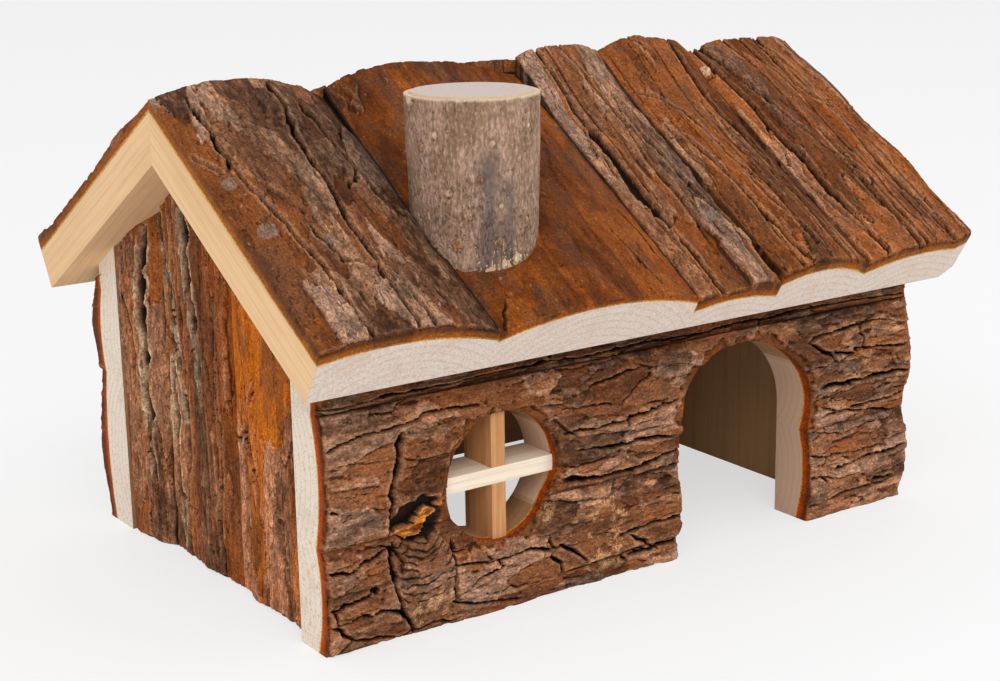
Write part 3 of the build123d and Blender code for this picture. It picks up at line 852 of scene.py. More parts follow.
def stub_relief(x, z, angle, whole, top, steps):
    """The thin bark of the chimney's branch: its relief in millimetres and the masks of its finish."""
    low = ramp(z, top - 14, top - 34)
    bend = around(lambda x, z: 0.8 * waves(x / 3, z / 5, 901) + 0.4 * waves(x / 1, z / 2, 902), x, z, whole)
    fine = around(lambda x, z: plates((x + bend) / 1.3, (z + 2 * bend) / 5.5, 903).edge, x, z, whole)
    coarse = around(lambda x, z: plates((x + bend) / 3.1, (z + bend) / 7, 911).edge, x, z, whole)
    open_fine = ramp(around(lambda x, z: rough(x / 5, z / 9, 905), x, z, whole) + 0.22 * low, 0.38, 0.6)
    open_coarse = ramp(around(lambda x, z: rough(x / 8, z / 9, 906), x, z, whole) + 0.3 * low, 0.46, 0.7)
    hair = (1 - ramp(to_level(fine, 0, steps), 0.02, 0.26)) * open_fine
    hair = np.maximum(hair, (1 - ramp(to_level(coarse, 0, steps), 0.05, 0.36)) * open_coarse)
    strands = around(lambda x, z: rough(x / 0.7, z / 4, 907), x, z, whole) - 0.5
    swell = around(lambda x, z: rough(x / 12, z / 22, 908), x, z, whole) - 0.5
    rise = 0.9 * swell + 0.3 * strands - 0.38 * hair
    orange, pale = np.zeros_like(x), np.zeros_like(x)
    for i, (degrees, height, radius, lift, tint, light) in enumerate(STUB_SCARS):
        aside = (np.degrees(angle) - degrees + 180) % 360 - 180
        uneven = 0.7 * (rough(x / 1.2, z / 1.2, 920 + i, 2) - 0.5)
        away = np.hypot(np.radians(aside) * SCAR_RADIUS, (z - height) * 0.85) + uneven
        radius = 0.8 * radius
        spot = 1 - ramp(away, radius * 0.6, radius * 1.15)
        ring = np.exp(-((away - 1.2 * radius) / 0.3) ** 2)
        rise = rise + lift * spot - 0.2 * ring
        hair = np.maximum(hair * (1 - spot), 0.7 * ring * (light < 0.8))
        orange = np.maximum(orange, tint * spot)
        pale = np.where(spot > 0.01, light * spot, pale)
    streak = np.exp(-((np.degrees(angle) + 21 + 3 * swell) / 9) ** 2) * ramp(z, top - 9, top - 18)
    streak = streak + 0.8 * np.exp(-((np.degrees(angle) + 2) / 7) ** 2) * ramp(z, top - 16, top - 24)
    streak = np.clip(streak * (0.5 + around(lambda x, z: rough(x / 2, z / 9, 909), x, z, whole)), 0, 1)
    fray = around(lambda x, z: rough(x / 0.9, z / 2, 910), x, z, whole)
    fray = ramp(z, top - 0.2 - 1.0 * fray, top)
    rise = rise * (1 - 0.6 * fray)
    return {"rise": rise, "crack": hair, "orange": orange, "pale": np.maximum(pale, fray), "stain": streak}


def stub_piece(material, spacing):
    """The chimney's bark: a grid rolled into a tube, with its rims turned in to the wood."""
    middle, top, radius, wood = chimney_sizes()
    whole, height = 2 * math.pi * radius, top - middle.z
    count_a, count_b = round(whole / spacing), round(height * GRID_SHARE / spacing)
    piece, at, a, b = lay_grid("chimney_bark_relief", count_a, count_b)
    mesh = piece.data
    angle = (a - 0.5) * 2 * math.pi
    board = next(board for board in front_roof_boards() if board.openings)
    across = np.clip(middle.x + radius * np.sin(angle) - board.origin.x, 1, board.width - 1)
    surface = crown_heights(board, across, np.full(across.shape, board.length / 2)) + SEAT_BARK
    seat = surface.max() - SEAT_COVER
    foot = middle.z - radius * np.cos(angle) * math.tan(roof_pitch())
    foot = foot - np.maximum(seat - surface + 0.6, 0)
    chipped = np.exp(-((np.degrees(angle) - CHIP_ANGLE) / 4) ** 4)
    foot = foot + 2.2 * chipped + 0.5 * waves(a * whole / 2, b * 0, 930)
    z = foot + b * (top - foot)
    masks = stub_relief(a * whole, z, angle, whole, top, (height * GRID_SHARE / count_b, whole / count_a))
    reach = radius - STUB_TAPER * (top - z) / height + masks["rise"]
    points = np.stack([middle.x + reach * np.sin(angle), middle.y - reach * np.cos(angle), z], axis=-1) * MM
    write_points(mesh, points[at])
    for name, values in masks.items():
        write_mask(mesh, name, values[at])
    bpy.ops.object.mode_set(mode="EDIT")
    bpy.ops.mesh.select_all(action="SELECT")
    bpy.ops.mesh.remove_doubles(threshold=0.00001)
    bpy.ops.object.mode_set(mode="OBJECT")
    rim = extrude_open_rims(mesh)
    points = read_points(mesh)
    centre = np.array(middle.xy) * MM
    side = points[rim:, :2] - centre
    points[rim:, :2] = centre + side * (wood * MM / np.linalg.norm(side, axis=1))[:, None]
    write_points(mesh, points)
    bpy.ops.object.mode_set(mode="EDIT")
    bpy.ops.mesh.bridge_edge_loops()
    face_outwards()
    mesh.materials.append(material)
    bpy.ops.object.shade_smooth_by_angle(angle=math.radians(STUB_CREASE))
    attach(piece, BODY)
    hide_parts("chimney_bark")


# ---------------- shader helpers

def new_group(name, vector, values, colours):
    """A node group that puts out colour, roughness and height; values holds its numbers' defaults."""
    group = bpy.data.node_groups.new(name, "ShaderNodeTree")
    sockets = [(vector, "INPUT", "Vector", None)]
    sockets += [(label, "INPUT", "Float", default) for label, default in values.items()]
    sockets += [(label, "INPUT", "Color", None) for label in colours]
    sockets += [("Colour", "OUTPUT", "Color", None), ("Roughness", "OUTPUT", "Float", None),
                ("Height", "OUTPUT", "Float", None)]
    for label, way, kind, default in sockets:
        socket = group.interface.new_socket(name=label, in_out=way, socket_type=f"NodeSocket{kind}")
        if default is not None:
            socket.default_value = default
    return group, group.nodes.new("NodeGroupInput").outputs, group.nodes.new("NodeGroupOutput").inputs


def new_material(name):
    """A material with its node tree and its shader."""
    material = bpy.data.materials.new(name)
    material.use_nodes = True
    return material, material.node_tree, material.node_tree.nodes["Principled BSDF"]


def put(tree, kind, **settings):
    """Adds a node and sets its properties."""
    node = tree.nodes.new(kind)
    for name, value in settings.items():
        setattr(node, name, value)
    return node


def feed(tree, socket, value):
    """Links a socket into another, or sets it to a number, a vector or a display colour."""
    if isinstance(value, bpy.types.NodeSocket):
        tree.links.new(value, socket)
    elif socket.type == "RGBA":
        socket.default_value = (*linear(*value), 1.0)
    else:
        socket.default_value = value


def math_node(tree, operation, first, second=None, clamp=False):
    """A maths node fed by sockets or numbers; gives its result."""
    node = put(tree, "ShaderNodeMath", operation=operation, use_clamp=clamp)
    for socket, value in zip(node.inputs, (first, second)):
        if value is not None:
            feed(tree, socket, value)
    return node.outputs[0]


def times(tree, first, second, clamp=False):
    """One value times another."""
    return math_node(tree, "MULTIPLY", first, second, clamp)


def plus(tree, first, second):
    """One value and another."""
    return math_node(tree, "ADD", first, second)


def vector_node(tree, operation, *values):
    """A vector node fed by sockets or vectors."""
    node = put(tree, "ShaderNodeVectorMath", operation=operation)
    for socket, value in zip(node.inputs, values):
        feed(tree, socket, value)
    return node.outputs


def mix_colour(tree, share, first, second):
    """Mixes two colours by a share; each may be a socket or a display colour."""
    node = put(tree, "ShaderNodeMix", data_type="RGBA", blend_type="MIX")
    for number, value in ((0, share), (6, first), (7, second)):
        feed(tree, node.inputs[number], value)
    return node.outputs[2]


def ramp_value(tree, value, low, high, to_low=0.0, to_high=1.0):
    """Maps a value from one range to another, smoothly and clamped."""
    node = put(tree, "ShaderNodeMapRange", interpolation_type="SMOOTHSTEP")
    for name, number in (("Value", value), ("From Min", low), ("From Max", high), ("To Min", to_low),
                         ("To Max", to_high)):
        feed(tree, node.inputs[name], number)
    return node.outputs[0]


def tinted(tree, base, *coats):
    """Lays colours over a base; each coat is (mask, where it starts, where it is full, strength, colour)."""
    for mask, low, high, strength, colour in coats:
        base = mix_colour(tree, times(tree, ramp_value(tree, mask, low, high), strength), base, colour)
    return base


def noise_node(tree, vector, **settings):
    """A noise texture's outputs."""
    noise = put(tree, "ShaderNodeTexNoise")
    tree.links.new(vector, noise.inputs["Vector"])
    for name, value in settings.items():
        noise.inputs[name].default_value = value
    return noise.outputs


def stretched_noise(tree, vector, scale, detail=3.0, roughness=0.55, distortion=0.0):
    """Noise whose scale differs along the axes; scale is swells per unit along x, y and z."""
    stretched = vector_node(tree, "MULTIPLY", vector, scale)[0]
    noise = noise_node(tree, stretched, Scale=1.0, Detail=detail, Roughness=roughness, Distortion=distortion)
    return noise["Fac"]


def crackle(tree, vector, scale, seed_shift, width):
    """1 on the fine cracks between small cells and 0 off them; scale is cells per unit along x, y and z."""
    shifted = vector_node(tree, "MULTIPLY_ADD", vector, scale, (seed_shift, seed_shift, 0))[0]
    bend = noise_node(tree, shifted, Scale=2.2, Detail=3.0)["Color"]
    moved = vector_node(tree, "MULTIPLY_ADD", bend, (0.55, 0.55, 0.55), shifted)[0]
    cells = put(tree, "ShaderNodeTexVoronoi", feature="DISTANCE_TO_EDGE")
    tree.links.new(moved, cells.inputs["Vector"])
    cells.inputs["Scale"].default_value = 1.0
    return ramp_value(tree, cells.outputs["Distance"], width * 0.35, width, 1.0, 0.0)


def wire_finish(tree, shader, finish, specular, bump_strength, bump_distance):
    """Feeds a shader from a colour, a roughness and a fine height, which goes through a bump."""
    colour, roughness, height = finish
    bump = put(tree, "ShaderNodeBump")
    for socket, value in ((shader.inputs["Base Color"], colour), (shader.inputs["Roughness"], roughness),
                          (shader.inputs["Specular IOR Level"], specular), (bump.inputs["Height"], height),
                          (bump.inputs["Strength"], bump_strength), (bump.inputs["Distance"], bump_distance),
                          (shader.inputs["Normal"], bump.outputs["Normal"])):
        feed(tree, socket, value)


# ---------------- bark finish

BARK_MASKS = ("rise", "crack", "peel", "tone", "edge", "dust", "lichen", "hue", "cut", "bleach")
# The furrows' dark brown, deepened almost to black as painted shade; the crack mask lays it in furrows,
# splits, seams, pits, folds and along flake edges
FURROW_BROWN_AND_SHADE = (22, 12, 7)


def bark_layers_group():
    """Colour, roughness and fine height of bark from its masks: plates, inner bark, furrows and dust, with
    painted shade in furrows and hollows and a painted highlight on proud edges.
    """
    group, given, result = new_group(
        "Bark layers", "Board mm",
        {"Rise": 4.0, "Crack": 0.0, "Peel": 0.0, "Tone": 0.5, "Edge": 0.0, "Dust": 0.0, "Lichen": 0.0,
         "Hue": 0.5, "Cut": 0.0, "Aged": 0.4, "Fresh": 0.5, "Veins": 0.35, "Bleach": 0.0},
        ("Light", "Dark", "Rust", "Rim"))
    at = given["Board mm"]
    weather = stretched_noise(group, at, (0.10, 0.045, 0.1), 3.0)
    mottle = stretched_noise(group, at, (0.5, 0.24, 0.5), 5.0, 0.65)
    fibre = stretched_noise(group, at, (2.4, 0.22, 1.0), 4.0, 0.65, 0.2)
    grit = stretched_noise(group, at, (1.7, 1.3, 1.5), 4.0, 0.7)
    fleck = stretched_noise(group, at, (0.9, 0.6, 0.9), 2.0, 0.5)
    fine = stretched_noise(group, at, (3.6, 2.2, 3.0), 3.0, 0.65)
    soft = stretched_noise(group, at, (0.16, 0.07, 0.1), 4.0, 0.6)
    hair = crackle(group, at, (0.42, 0.11, 0.3), 0.0, 0.07)
    hair = times(group, times(group, hair, ramp_value(group, mottle, 0.5, 0.58)), given["Veins"])
    pits = times(group, ramp_value(group, fine, 0.4, 0.3), given["Veins"])

    tone = ramp_value(group, given["Tone"], 0.05, 0.95)
    share = plus(group, times(group, tone, 0.6), times(group, ramp_value(group, mottle, 0.36, 0.64), 0.4))
    plate = mix_colour(group, share, given["Dark"], given["Light"])
    # Plates that weathered long are grey, and those that lost their skin lately are rusty.
    hue = plus(group, given["Hue"], times(group, math_node(group, "SUBTRACT", weather, 0.5), 0.9))
    aged = mix_colour(group, share, (84, 63, 51), (164, 130, 111))
    fresh = mix_colour(group, share, (80, 40, 18), given["Rust"])
    plate = tinted(group, plate, (hue, 0.56, 0.3, given["Aged"], aged),
                   (hue, 0.52, 0.8, given["Fresh"], fresh), (fibre, 0.52, 0.64, 0.42, (58, 32, 18)))

    rust_dark = mix_colour(group, 0.5, given["Rust"], (62, 30, 14))
    rust_light = mix_colour(group, 0.35, given["Rust"], (172, 106, 60))
    bare_share = plus(group, times(group, ramp_value(group, soft, 0.4, 0.6), 0.55), times(group, tone, 0.45))
    rust = mix_colour(group, bare_share, rust_dark, rust_light)
    rust = tinted(group, rust, (fibre, 0.42, 0.62, 0.3, rust_dark), (weather, 0.48, 0.6, 0.5, (92, 62, 44)),
                  (mottle, 0.5, 0.66, 0.4, (66, 34, 17)))
    outer = mix_colour(group, math_node(group, "MINIMUM", given["Peel"], 1.0), plate, rust)
    # A peel over 1 marks torn wood, as in a knot's heart.
    heart = times(group, math_node(group, "SUBTRACT", given["Peel"], 1.0, clamp=True), 4.0, clamp=True)
    torn = mix_colour(group, ramp_value(group, mottle, 0.4, 0.62), (138, 66, 20), (220, 146, 72))
    torn = tinted(group, torn, (grit, 0.52, 0.62, 0.5, (120, 56, 16)))
    outer = mix_colour(group, heart, outer, torn)
    outer = mix_colour(group, ramp_value(group, given["Rise"], 1.2, 2.2, 0.6, 0.0), outer, rust)

    grains = plus(group, times(group, given["Dust"], 0.3), times(group, fine, 1.1))
    grains = times(group, ramp_value(group, grains, 0.66, 0.82), times(group, given["Dust"], 3.0, clamp=True))
    pale = times(group, given["Bleach"], ramp_value(group, fibre, 0.4, 0.52, 0.3, 1.0))
    worn = outer
    # Bark that stands proud of its surroundings gets a painted highlight, and the hollows under it painted
    # shade
    for share, colour in ((ramp_value(group, given["Edge"], 0.08, 0.7, 0.0, 0.3), (190, 142, 108)),
                          (ramp_value(group, given["Edge"], -0.08, -0.5, 0.0, 0.8), (44, 23, 12)),
                          (times(group, ramp_value(group, fleck, 0.67, 0.74), 0.35), (190, 152, 120)),
                          (times(group, given["Lichen"], 0.6), (132, 112, 98)),
                          (times(group, grains, 0.9), (192, 148, 108)),
                          (pale, (206, 180, 150)),
                          (hair, (38, 20, 11)),
                          (pits, (44, 24, 13)),
                          # Furrows and cracks painted near black: their own dark brown, and painted shade in
                          # their depths
                          (ramp_value(group, given["Crack"], 0.1, 0.9, 0.0, 0.96), FURROW_BROWN_AND_SHADE)):
        worn = mix_colour(group, share, worn, colour)
    # A sawn rim shows the layers: an orange line on the wood, red inner bark, then brown.
    depth = plus(group, given["Rise"], times(group, math_node(group, "SUBTRACT", mottle, 0.5), 1.6))
    layer = mix_colour(group, ramp_value(group, depth, 0.1, 0.8), (220, 166, 92), given["Rim"])
    crust = mix_colour(group, 0.6, given["Rim"], (72, 42, 22))
    layer = mix_colour(group, ramp_value(group, depth, 1.6, 3.2), layer, crust)
    layer = tinted(group, layer, (fine, 0.5, 0.62, 0.4, (92, 50, 22)))
    cut = times(group, given["Cut"], ramp_value(group, depth, 1.2, 3.0, 0.92, 0.4))

    value = times(group, ramp_value(group, grit, 0.34, 0.66, 0.62, 1.46),
                  ramp_value(group, mottle, 0.36, 0.64, 0.8, 1.26))
    value = times(group, value, ramp_value(group, given["Tone"], 0.0, 0.6, 0.66, 1.09))
    speckle = put(group, "ShaderNodeHueSaturation")
    speckle.inputs["Saturation"].default_value = 1.04
    feed(group, speckle.inputs["Color"], mix_colour(group, cut, worn, layer))
    feed(group, speckle.inputs["Value"], value)
    feed(group, result["Colour"], speckle.outputs[0])
    feed(group, result["Roughness"], ramp_value(group, grit, 0.3, 0.7, 0.58, 0.82))
    height = plus(group, times(group, grit, 0.8), times(group, fibre, 0.6))
    cracked = times(group, math_node(group, "MAXIMUM", hair, pits), 0.9)
    feed(group, result["Height"], math_node(group, "SUBTRACT", height, cracked))
    return group


def bark_material(name, style, group):
    """One board's bark finish: the shared layers with this board's colours."""
    material, tree, shader = new_material(name)
    layers = put(tree, "ShaderNodeGroup", node_tree=group)
    board = put(tree, "ShaderNodeAttribute", attribute_name="board_mm")
    feed(tree, layers.inputs["Board mm"], board.outputs["Vector"])
    for mask in BARK_MASKS:
        reader = put(tree, "ShaderNodeAttribute", attribute_name=mask)
        feed(tree, layers.inputs[mask.title()], reader.outputs["Fac"])
    for quality in ("light", "dark", "rust", "rim", "aged", "fresh", "veins"):
        feed(tree, layers.inputs[quality.title()], getattr(style, quality))
    wire_finish(tree, shader, layers.outputs, 0.14, 0.7, 0.0005)
    return material


def branch_material():
    """The branch's thin grey-brown bark: pink lights, dark hair cracks, a damp stain, orange scars."""
    material, tree, shader = new_material("chimney bark finish")
    at = put(tree, "ShaderNodeTexCoord").outputs["Object"]
    crack, orange, pale, stain = (put(tree, "ShaderNodeAttribute", attribute_name=name).outputs["Fac"]
                                  for name in ("crack", "orange", "pale", "stain"))
    patchy = stretched_noise(tree, at, (120.0, 120.0, 70.0), 4.0, 0.6)
    streaky = stretched_noise(tree, at, (900.0, 900.0, 110.0), 4.0, 0.65)
    speckle = stretched_noise(tree, at, (1500.0, 1500.0, 700.0), 3.0, 0.6)
    base = mix_colour(tree, ramp_value(tree, patchy, 0.36, 0.64), (148, 118, 92), (182, 148, 126))
    base = tinted(tree, base, (streaky, 0.44, 0.6, 0.3, (96, 72, 56)),
                  (speckle, 0.5, 0.42, 0.45, (96, 74, 58)), (speckle, 0.56, 0.66, 0.5, (206, 180, 160)))
    scar = mix_colour(tree, ramp_value(tree, speckle, 0.42, 0.58), (120, 70, 38), (188, 124, 70))
    place = put(tree, "ShaderNodeSeparateXYZ")
    feed(tree, place.inputs[0], at)
    lower = ramp_value(tree, place.outputs["Z"], 0.122, 0.1, 0.2, 0.62)
    broken = ramp_value(tree, stretched_noise(tree, at, (260.0, 260.0, 120.0), 3.0, 0.6), 0.44, 0.56)
    coarse = times(tree, crackle(tree, at, (460.0, 460.0, 150.0), 9.0, 0.06), lower)
    hairs = math_node(tree, "MAXIMUM", crackle(tree, at, (880.0, 880.0, 230.0), 3.0, 0.09), coarse)
    hairs = times(tree, times(tree, hairs, broken), lower)
    for share, colour in ((times(tree, stain, 0.75), (92, 80, 78)),
                          (times(tree, orange, 0.8), scar),
                          (times(tree, pale, 0.9, clamp=True), (222, 200, 172)),
                          (times(tree, pale, -1.0, clamp=True), (54, 44, 58)),
                          (hairs, (62, 42, 34)),
                          (times(tree, crack, 0.5), (78, 54, 42))):
        base = mix_colour(tree, share, base, colour)
    roughness = ramp_value(tree, speckle, 0.3, 0.7, 0.7, 0.9)
    wire_finish(tree, shader, (base, roughness, plus(tree, streaky, speckle)), 0.22, 0.5, 0.0003)
    return material


# ---------------- wood finish

def sawn_wood_group():
    """Colour, roughness and height of sawn wood; its vector's z runs along the grain, with the pith at 0."""
    group, given, result = new_group(
        "Sawn wood", "Vector", {"End grain": 0.0, "Ring pitch": 2.4, "Fuzz": 0.45}, ("Side", "End", "Line"))
    at = given["Vector"]
    wobble = stretched_noise(group, at, (60.0, 60.0, 8.0), 2.0)
    flat = vector_node(group, "MULTIPLY", at, (1.0, 1.0, 0.0))[0]
    length = vector_node(group, "LENGTH", flat)["Value"]
    reach = plus(group, length, times(group, wobble, 0.0022))
    year = math_node(group, "DIVIDE", times(group, reach, 1000.0), given["Ring pitch"])
    year = math_node(group, "FRACT", year)
    late = times(group, ramp_value(group, year, 0.55, 0.95), ramp_value(group, year, 0.97, 1.0, 1.0, 0.0))
    strand = stretched_noise(group, at, (1500.0, 1500.0, 60.0), 3.0, 0.6)
    cloud = stretched_noise(group, at, (90.0, 90.0, 22.0), 3.0)
    fuzz = stretched_noise(group, at, (1900.0, 1900.0, 1900.0), 3.0, 0.65)
    fleck = stretched_noise(group, at, (700.0, 700.0, 700.0), 3.0, 0.7)

    side = mix_colour(group, times(group, late, 0.28), given["Side"], given["Line"])
    side = tinted(group, side, (strand, 0.42, 0.66, 0.28, given["Line"]),
                  (cloud, 0.45, 0.7, 0.22, (196, 150, 98)))
    end = mix_colour(group, times(group, late, 0.4), given["End"], (190, 154, 124))
    end = tinted(group, end, (fuzz, 0.42, 0.58, given["Fuzz"], (246, 238, 230)),
                 (fleck, 0.56, 0.68, given["Fuzz"], (210, 156, 110)),
                 (cloud, 0.5, 0.72, 0.3, (204, 170, 148)))
    feed(group, result["Colour"], mix_colour(group, given["End grain"], side, end))
    feed(group, result["Roughness"], ramp_value(group, strand, 0.3, 0.7, 0.62, 0.8))
    coarse = times(group, times(group, fuzz, given["End grain"]), 2.2)
    feed(group, result["Height"], plus(group, times(group, strand, 0.6), coarse))
    return group


WALL_END = (0.096, 0.0975)    # metres from the middle, between a wall's sawn openings and its own ends


def wood_material(name, group, grain, pith, side, end, line, inner_end=None, fuzz=0.45):
    """A board's wood: grain is its unit direction, pith a point on the tree's heart line, in metres."""
    material, tree, shader = new_material(name)
    at = put(tree, "ShaderNodeTexCoord").outputs["Object"]
    turn = put(tree, "ShaderNodeMapping", vector_type="POINT")
    turn.inputs["Rotation"].default_value = Vector(grain).rotation_difference(Vector((0, 0, 1))).to_euler()
    feed(tree, turn.inputs["Vector"], vector_node(tree, "SUBTRACT", at, pith)[0])
    normal = put(tree, "ShaderNodeNewGeometry").outputs["True Normal"]
    facing = vector_node(tree, "DOT_PRODUCT", normal, grain)["Value"]
    wood = put(tree, "ShaderNodeGroup", node_tree=group)
    end_grain = ramp_value(tree, math_node(tree, "ABSOLUTE", facing), 0.7, 0.8)
    for label, value in (("Vector", turn.outputs[0]), ("Side", side), ("End", end), ("Line", line),
                         ("Fuzz", fuzz), ("End grain", end_grain)):
        feed(tree, wood.inputs[label], value)
    if inner_end:
        place = put(tree, "ShaderNodeSeparateXYZ")
        feed(tree, place.inputs[0], at)
        at_end = ramp_value(tree, math_node(tree, "ABSOLUTE", place.outputs["X"]), *WALL_END)
        feed(tree, wood.inputs["End"], mix_colour(tree, at_end, inner_end, end))
        feed(tree, wood.inputs["Fuzz"], times(tree, at_end, fuzz))
    wire_finish(tree, shader, wood.outputs, 0.3, 0.5, 0.00015)
    return material


def steel_material():
    """Bright steel of the brads and the screw, finely scratched."""
    material, tree, shader = new_material("bright steel")
    at = put(tree, "ShaderNodeTexCoord").outputs["Object"]
    scratch = stretched_noise(tree, at, (900.0, 900.0, 300.0), 3.0)
    feed(tree, shader.inputs["Roughness"], ramp_value(tree, scratch, 0.3, 0.7, 0.3, 0.5))
    feed(tree, shader.inputs["Base Color"], mix_colour(tree, scratch, (150, 150, 150), (200, 200, 200)))
    shader.inputs["Metallic"].default_value = 1.0
    return material


def assign(node, material):
    """Gives a CAD piece its finish."""
    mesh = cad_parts[node].data
    mesh.materials.clear()
    mesh.materials.append(material)


# ---------------- settings

class HouseSettings(bpy.types.PropertyGroup):
    """Sizes of the dressed house that a user would change."""
    roof_pitch: bpy.props.FloatProperty(
        name="Roof pitch", description="Slope of both roof sides", default=math.radians(31), subtype="ANGLE")
    relief_spacing: bpy.props.FloatProperty(
        name="Relief spacing", description="Distance between the points of the bark relief",
        default=0.00034, unit="LENGTH", precision=5)
    back_spacing: bpy.props.FloatProperty(
        name="Back relief spacing", description="The same on the back wall, back roof and right gable",
        default=0.0005, unit="LENGTH", precision=5)
    quick_spacing: bpy.props.FloatProperty(
        name="Quick spacing", description="The same for a quick look",
        default=0.0009, unit="LENGTH", precision=5)


class StageSettings(bpy.types.PropertyGroup):
    """Camera and light."""
    camera_place: bpy.props.FloatVectorProperty(
        name="Camera place", description="Where the camera stands", subtype="TRANSLATION", unit="LENGTH",
        default=(-0.30599, -0.43827, 0.19101))
    camera_yaw: bpy.props.FloatProperty(
        name="Camera yaw", description="Turn from facing the back", default=0.6059, subtype="ANGLE")
    camera_pitch: bpy.props.FloatProperty(
        name="Camera pitch", description="Tilt below the horizon", default=0.2549, subtype="ANGLE")
    camera_roll: bpy.props.FloatProperty(
        name="Camera roll", description="Lean of the picture", default=-0.0166, subtype="ANGLE")
    focal_pixels: bpy.props.FloatProperty(
        name="Focal length", description="In pixels of a picture 1000 pixels wide", default=1866.9)
    key_power: bpy.props.FloatProperty(
        name="Key light", description="Power of the large soft lamp", default=9.0, min=0.0)
    sky_strength: bpy.props.FloatProperty(
        name="Sky", description="Strength of the even light from all round", default=0.75, min=0.0)


# ---------------- the boards' places

ROOF_BOARDS = 5         # on each side
CORNER_BEVEL = 9.0      # how much of the front roof's right corner is sawn off, in millimetres
CORNER_SLOPE = 3.1 / CORNER_BEVEL
SEAT_COVER = 1.5        # how far the chimney's seat lies below the roof's bark around it
SEAT_BARK = 1.6         # thickness of the bark under the chimney
SEAT_OVERLAP = 1.5      # how far the roof's bark runs in under the chimney
DOOR_HEIGHT = 58.5
DOOR_CROWN_SHARE = 0.46      # where the door arch is highest, between its left and right side
DOOR_LEFT_SHOULDER = 16.3    # height of the arch on each side of that place
DOOR_RIGHT_SHOULDER = 24.8


def roof_pitch():
    """Slope of both roof sides."""
    return bpy.context.scene.house_settings.roof_pitch


def slope_directions(side):
    """Up-slope and outward unit vectors of a roof side; -1 is the front."""
    rise, run = math.sin(roof_pitch()), math.cos(roof_pitch())
    return Vector((0, -side * run, rise)), Vector((0, side * rise, run))


def ridge_height():
    """Height in millimetres of the line where the two undersides of the roof meet."""
    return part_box("left_gable_middle")[1].z / MM


def roof_board(side, number, count):
    """A roof board's place, from its CAD node."""
    name = f"roof_{'front' if side < 0 else 'back'}_{number}"
    low, high = (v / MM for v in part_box(name))
    pitch = roof_pitch()
    up_slope, outward = slope_directions(side)
    run = (ridge_height() - low.z) / math.sin(pitch)
    foot = Vector((0, 0, ridge_height())) - up_slope * run
    start = low.x if side < 0 else high.x
    ends = {1: "first", count: "second"}
    cut = ("foot", ends[number]) if number in ends else ("foot",)
    bevel = (high.x - low.x - CORNER_BEVEL, CORNER_SLOPE) if side < 0 and number == count else None
    openings = ()
    middle, _, radius, _ = chimney_sizes()
    if side < 0 and low.x < middle.x < high.x:
        above = (SEAT_COVER + middle.z - foot.z - (middle.y - foot.y) * math.tan(pitch)) * math.cos(pitch)
        along = (middle.y - foot.y + above * math.sin(pitch)) / math.cos(pitch)
        along = along * (run + NOMINAL_HEIGHT * math.tan(pitch)) / (run + above * math.tan(pitch))
        reach = radius - SEAT_OVERLAP
        openings = (oval_opening(middle.x - start, along, reach, reach / math.cos(pitch)),)
    return Board(name, foot + Vector((start, 0, 0)), Vector((-side, 0, 0)), up_slope, outward,
                 high.x - low.x, run, lean_end=math.tan(pitch), cut_sides=cut, bevel=bevel, mitred=True,
                 openings=openings)


def front_roof_boards():
    """The places of the front roof boards, left to right."""
    return [roof_board(-1, number, ROOF_BOARDS) for number in range(1, ROOF_BOARDS + 1)]


def chimney_sizes():
    """The chimney's middle at its seat, its top, its radius with the bark and without, in millimetres."""
    low, high = (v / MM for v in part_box("chimney_bark"))
    wood_low, wood_high = (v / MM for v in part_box("chimney"))
    radius = (high.x - low.x) / 2
    seat = low.z + radius * math.tan(roof_pitch())
    middle = Vector((low.x + radius, (low.y + high.y) / 2, seat))
    return middle, high.z, radius, (wood_high.x - wood_low.x) / 2


def wall_board(side, name, openings=()):
    """A long wall board's place: across is up the wall and the grain runs along it."""
    low, high = (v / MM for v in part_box(name))
    inner = low.y if side > 0 else high.y
    start = low.x if side < 0 else high.x
    width, lean = high.z - low.z, 0.0
    if name.endswith("top"):
        slope = math.tan(roof_pitch())
        width, lean = ridge_height() - abs(inner) * slope - low.z, -slope
    cut = ("foot", "head", "first") if low.z < 1 else ("foot", "head")
    probe = (0.008, 0.008) if name != "front_wall_lower_right" else (0.96, 0.96)
    return Board(name, Vector((start, inner, low.z)), Vector((0, 0, 1)), Vector((-side, 0, 0)),
                 Vector((0, side, 0)), width, high.x - low.x, probe=probe, lean_side=lean, cut_sides=cut,
                 openings=openings)


def gable_board(side, name):
    """A gable board's place: upright grain, its top cut to both slopes."""
    low, high = (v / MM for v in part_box(name))
    start = low.y if side < 0 else high.y
    inner = high.x if side < 0 else low.x
    cut = ("foot", "second") if name == "left_gable_rear" else ("foot",)
    return Board(name, Vector((inner, start, 0)), Vector((0, -side, 0)), Vector((0, 0, 1)),
                 Vector((side, 0, 0)), high.y - low.y, ridge_height(), probe=(0.02, 0.02), peak=side * start,
                 steep=math.tan(roof_pitch()), cut_sides=cut)


def round_opening(centre_u, centre_s, radius):
    """Signed distance to a round hole's edge, outside positive."""
    return lambda u, s: np.hypot(u - centre_u, s - centre_s) - radius


def oval_opening(centre_u, centre_s, reach_u, reach_s):
    """Distance, nearly, to an upright round's outline where it passes through a sloping board."""
    def away(u, s):
        x, y = (u - centre_u) / reach_u, (s - centre_s) / reach_s
        reach = np.hypot(x, y)
        return (reach - 1) * np.maximum(reach, 1e-6) / np.maximum(np.hypot(x / reach_u, y / reach_s), 1e-6)
    return away


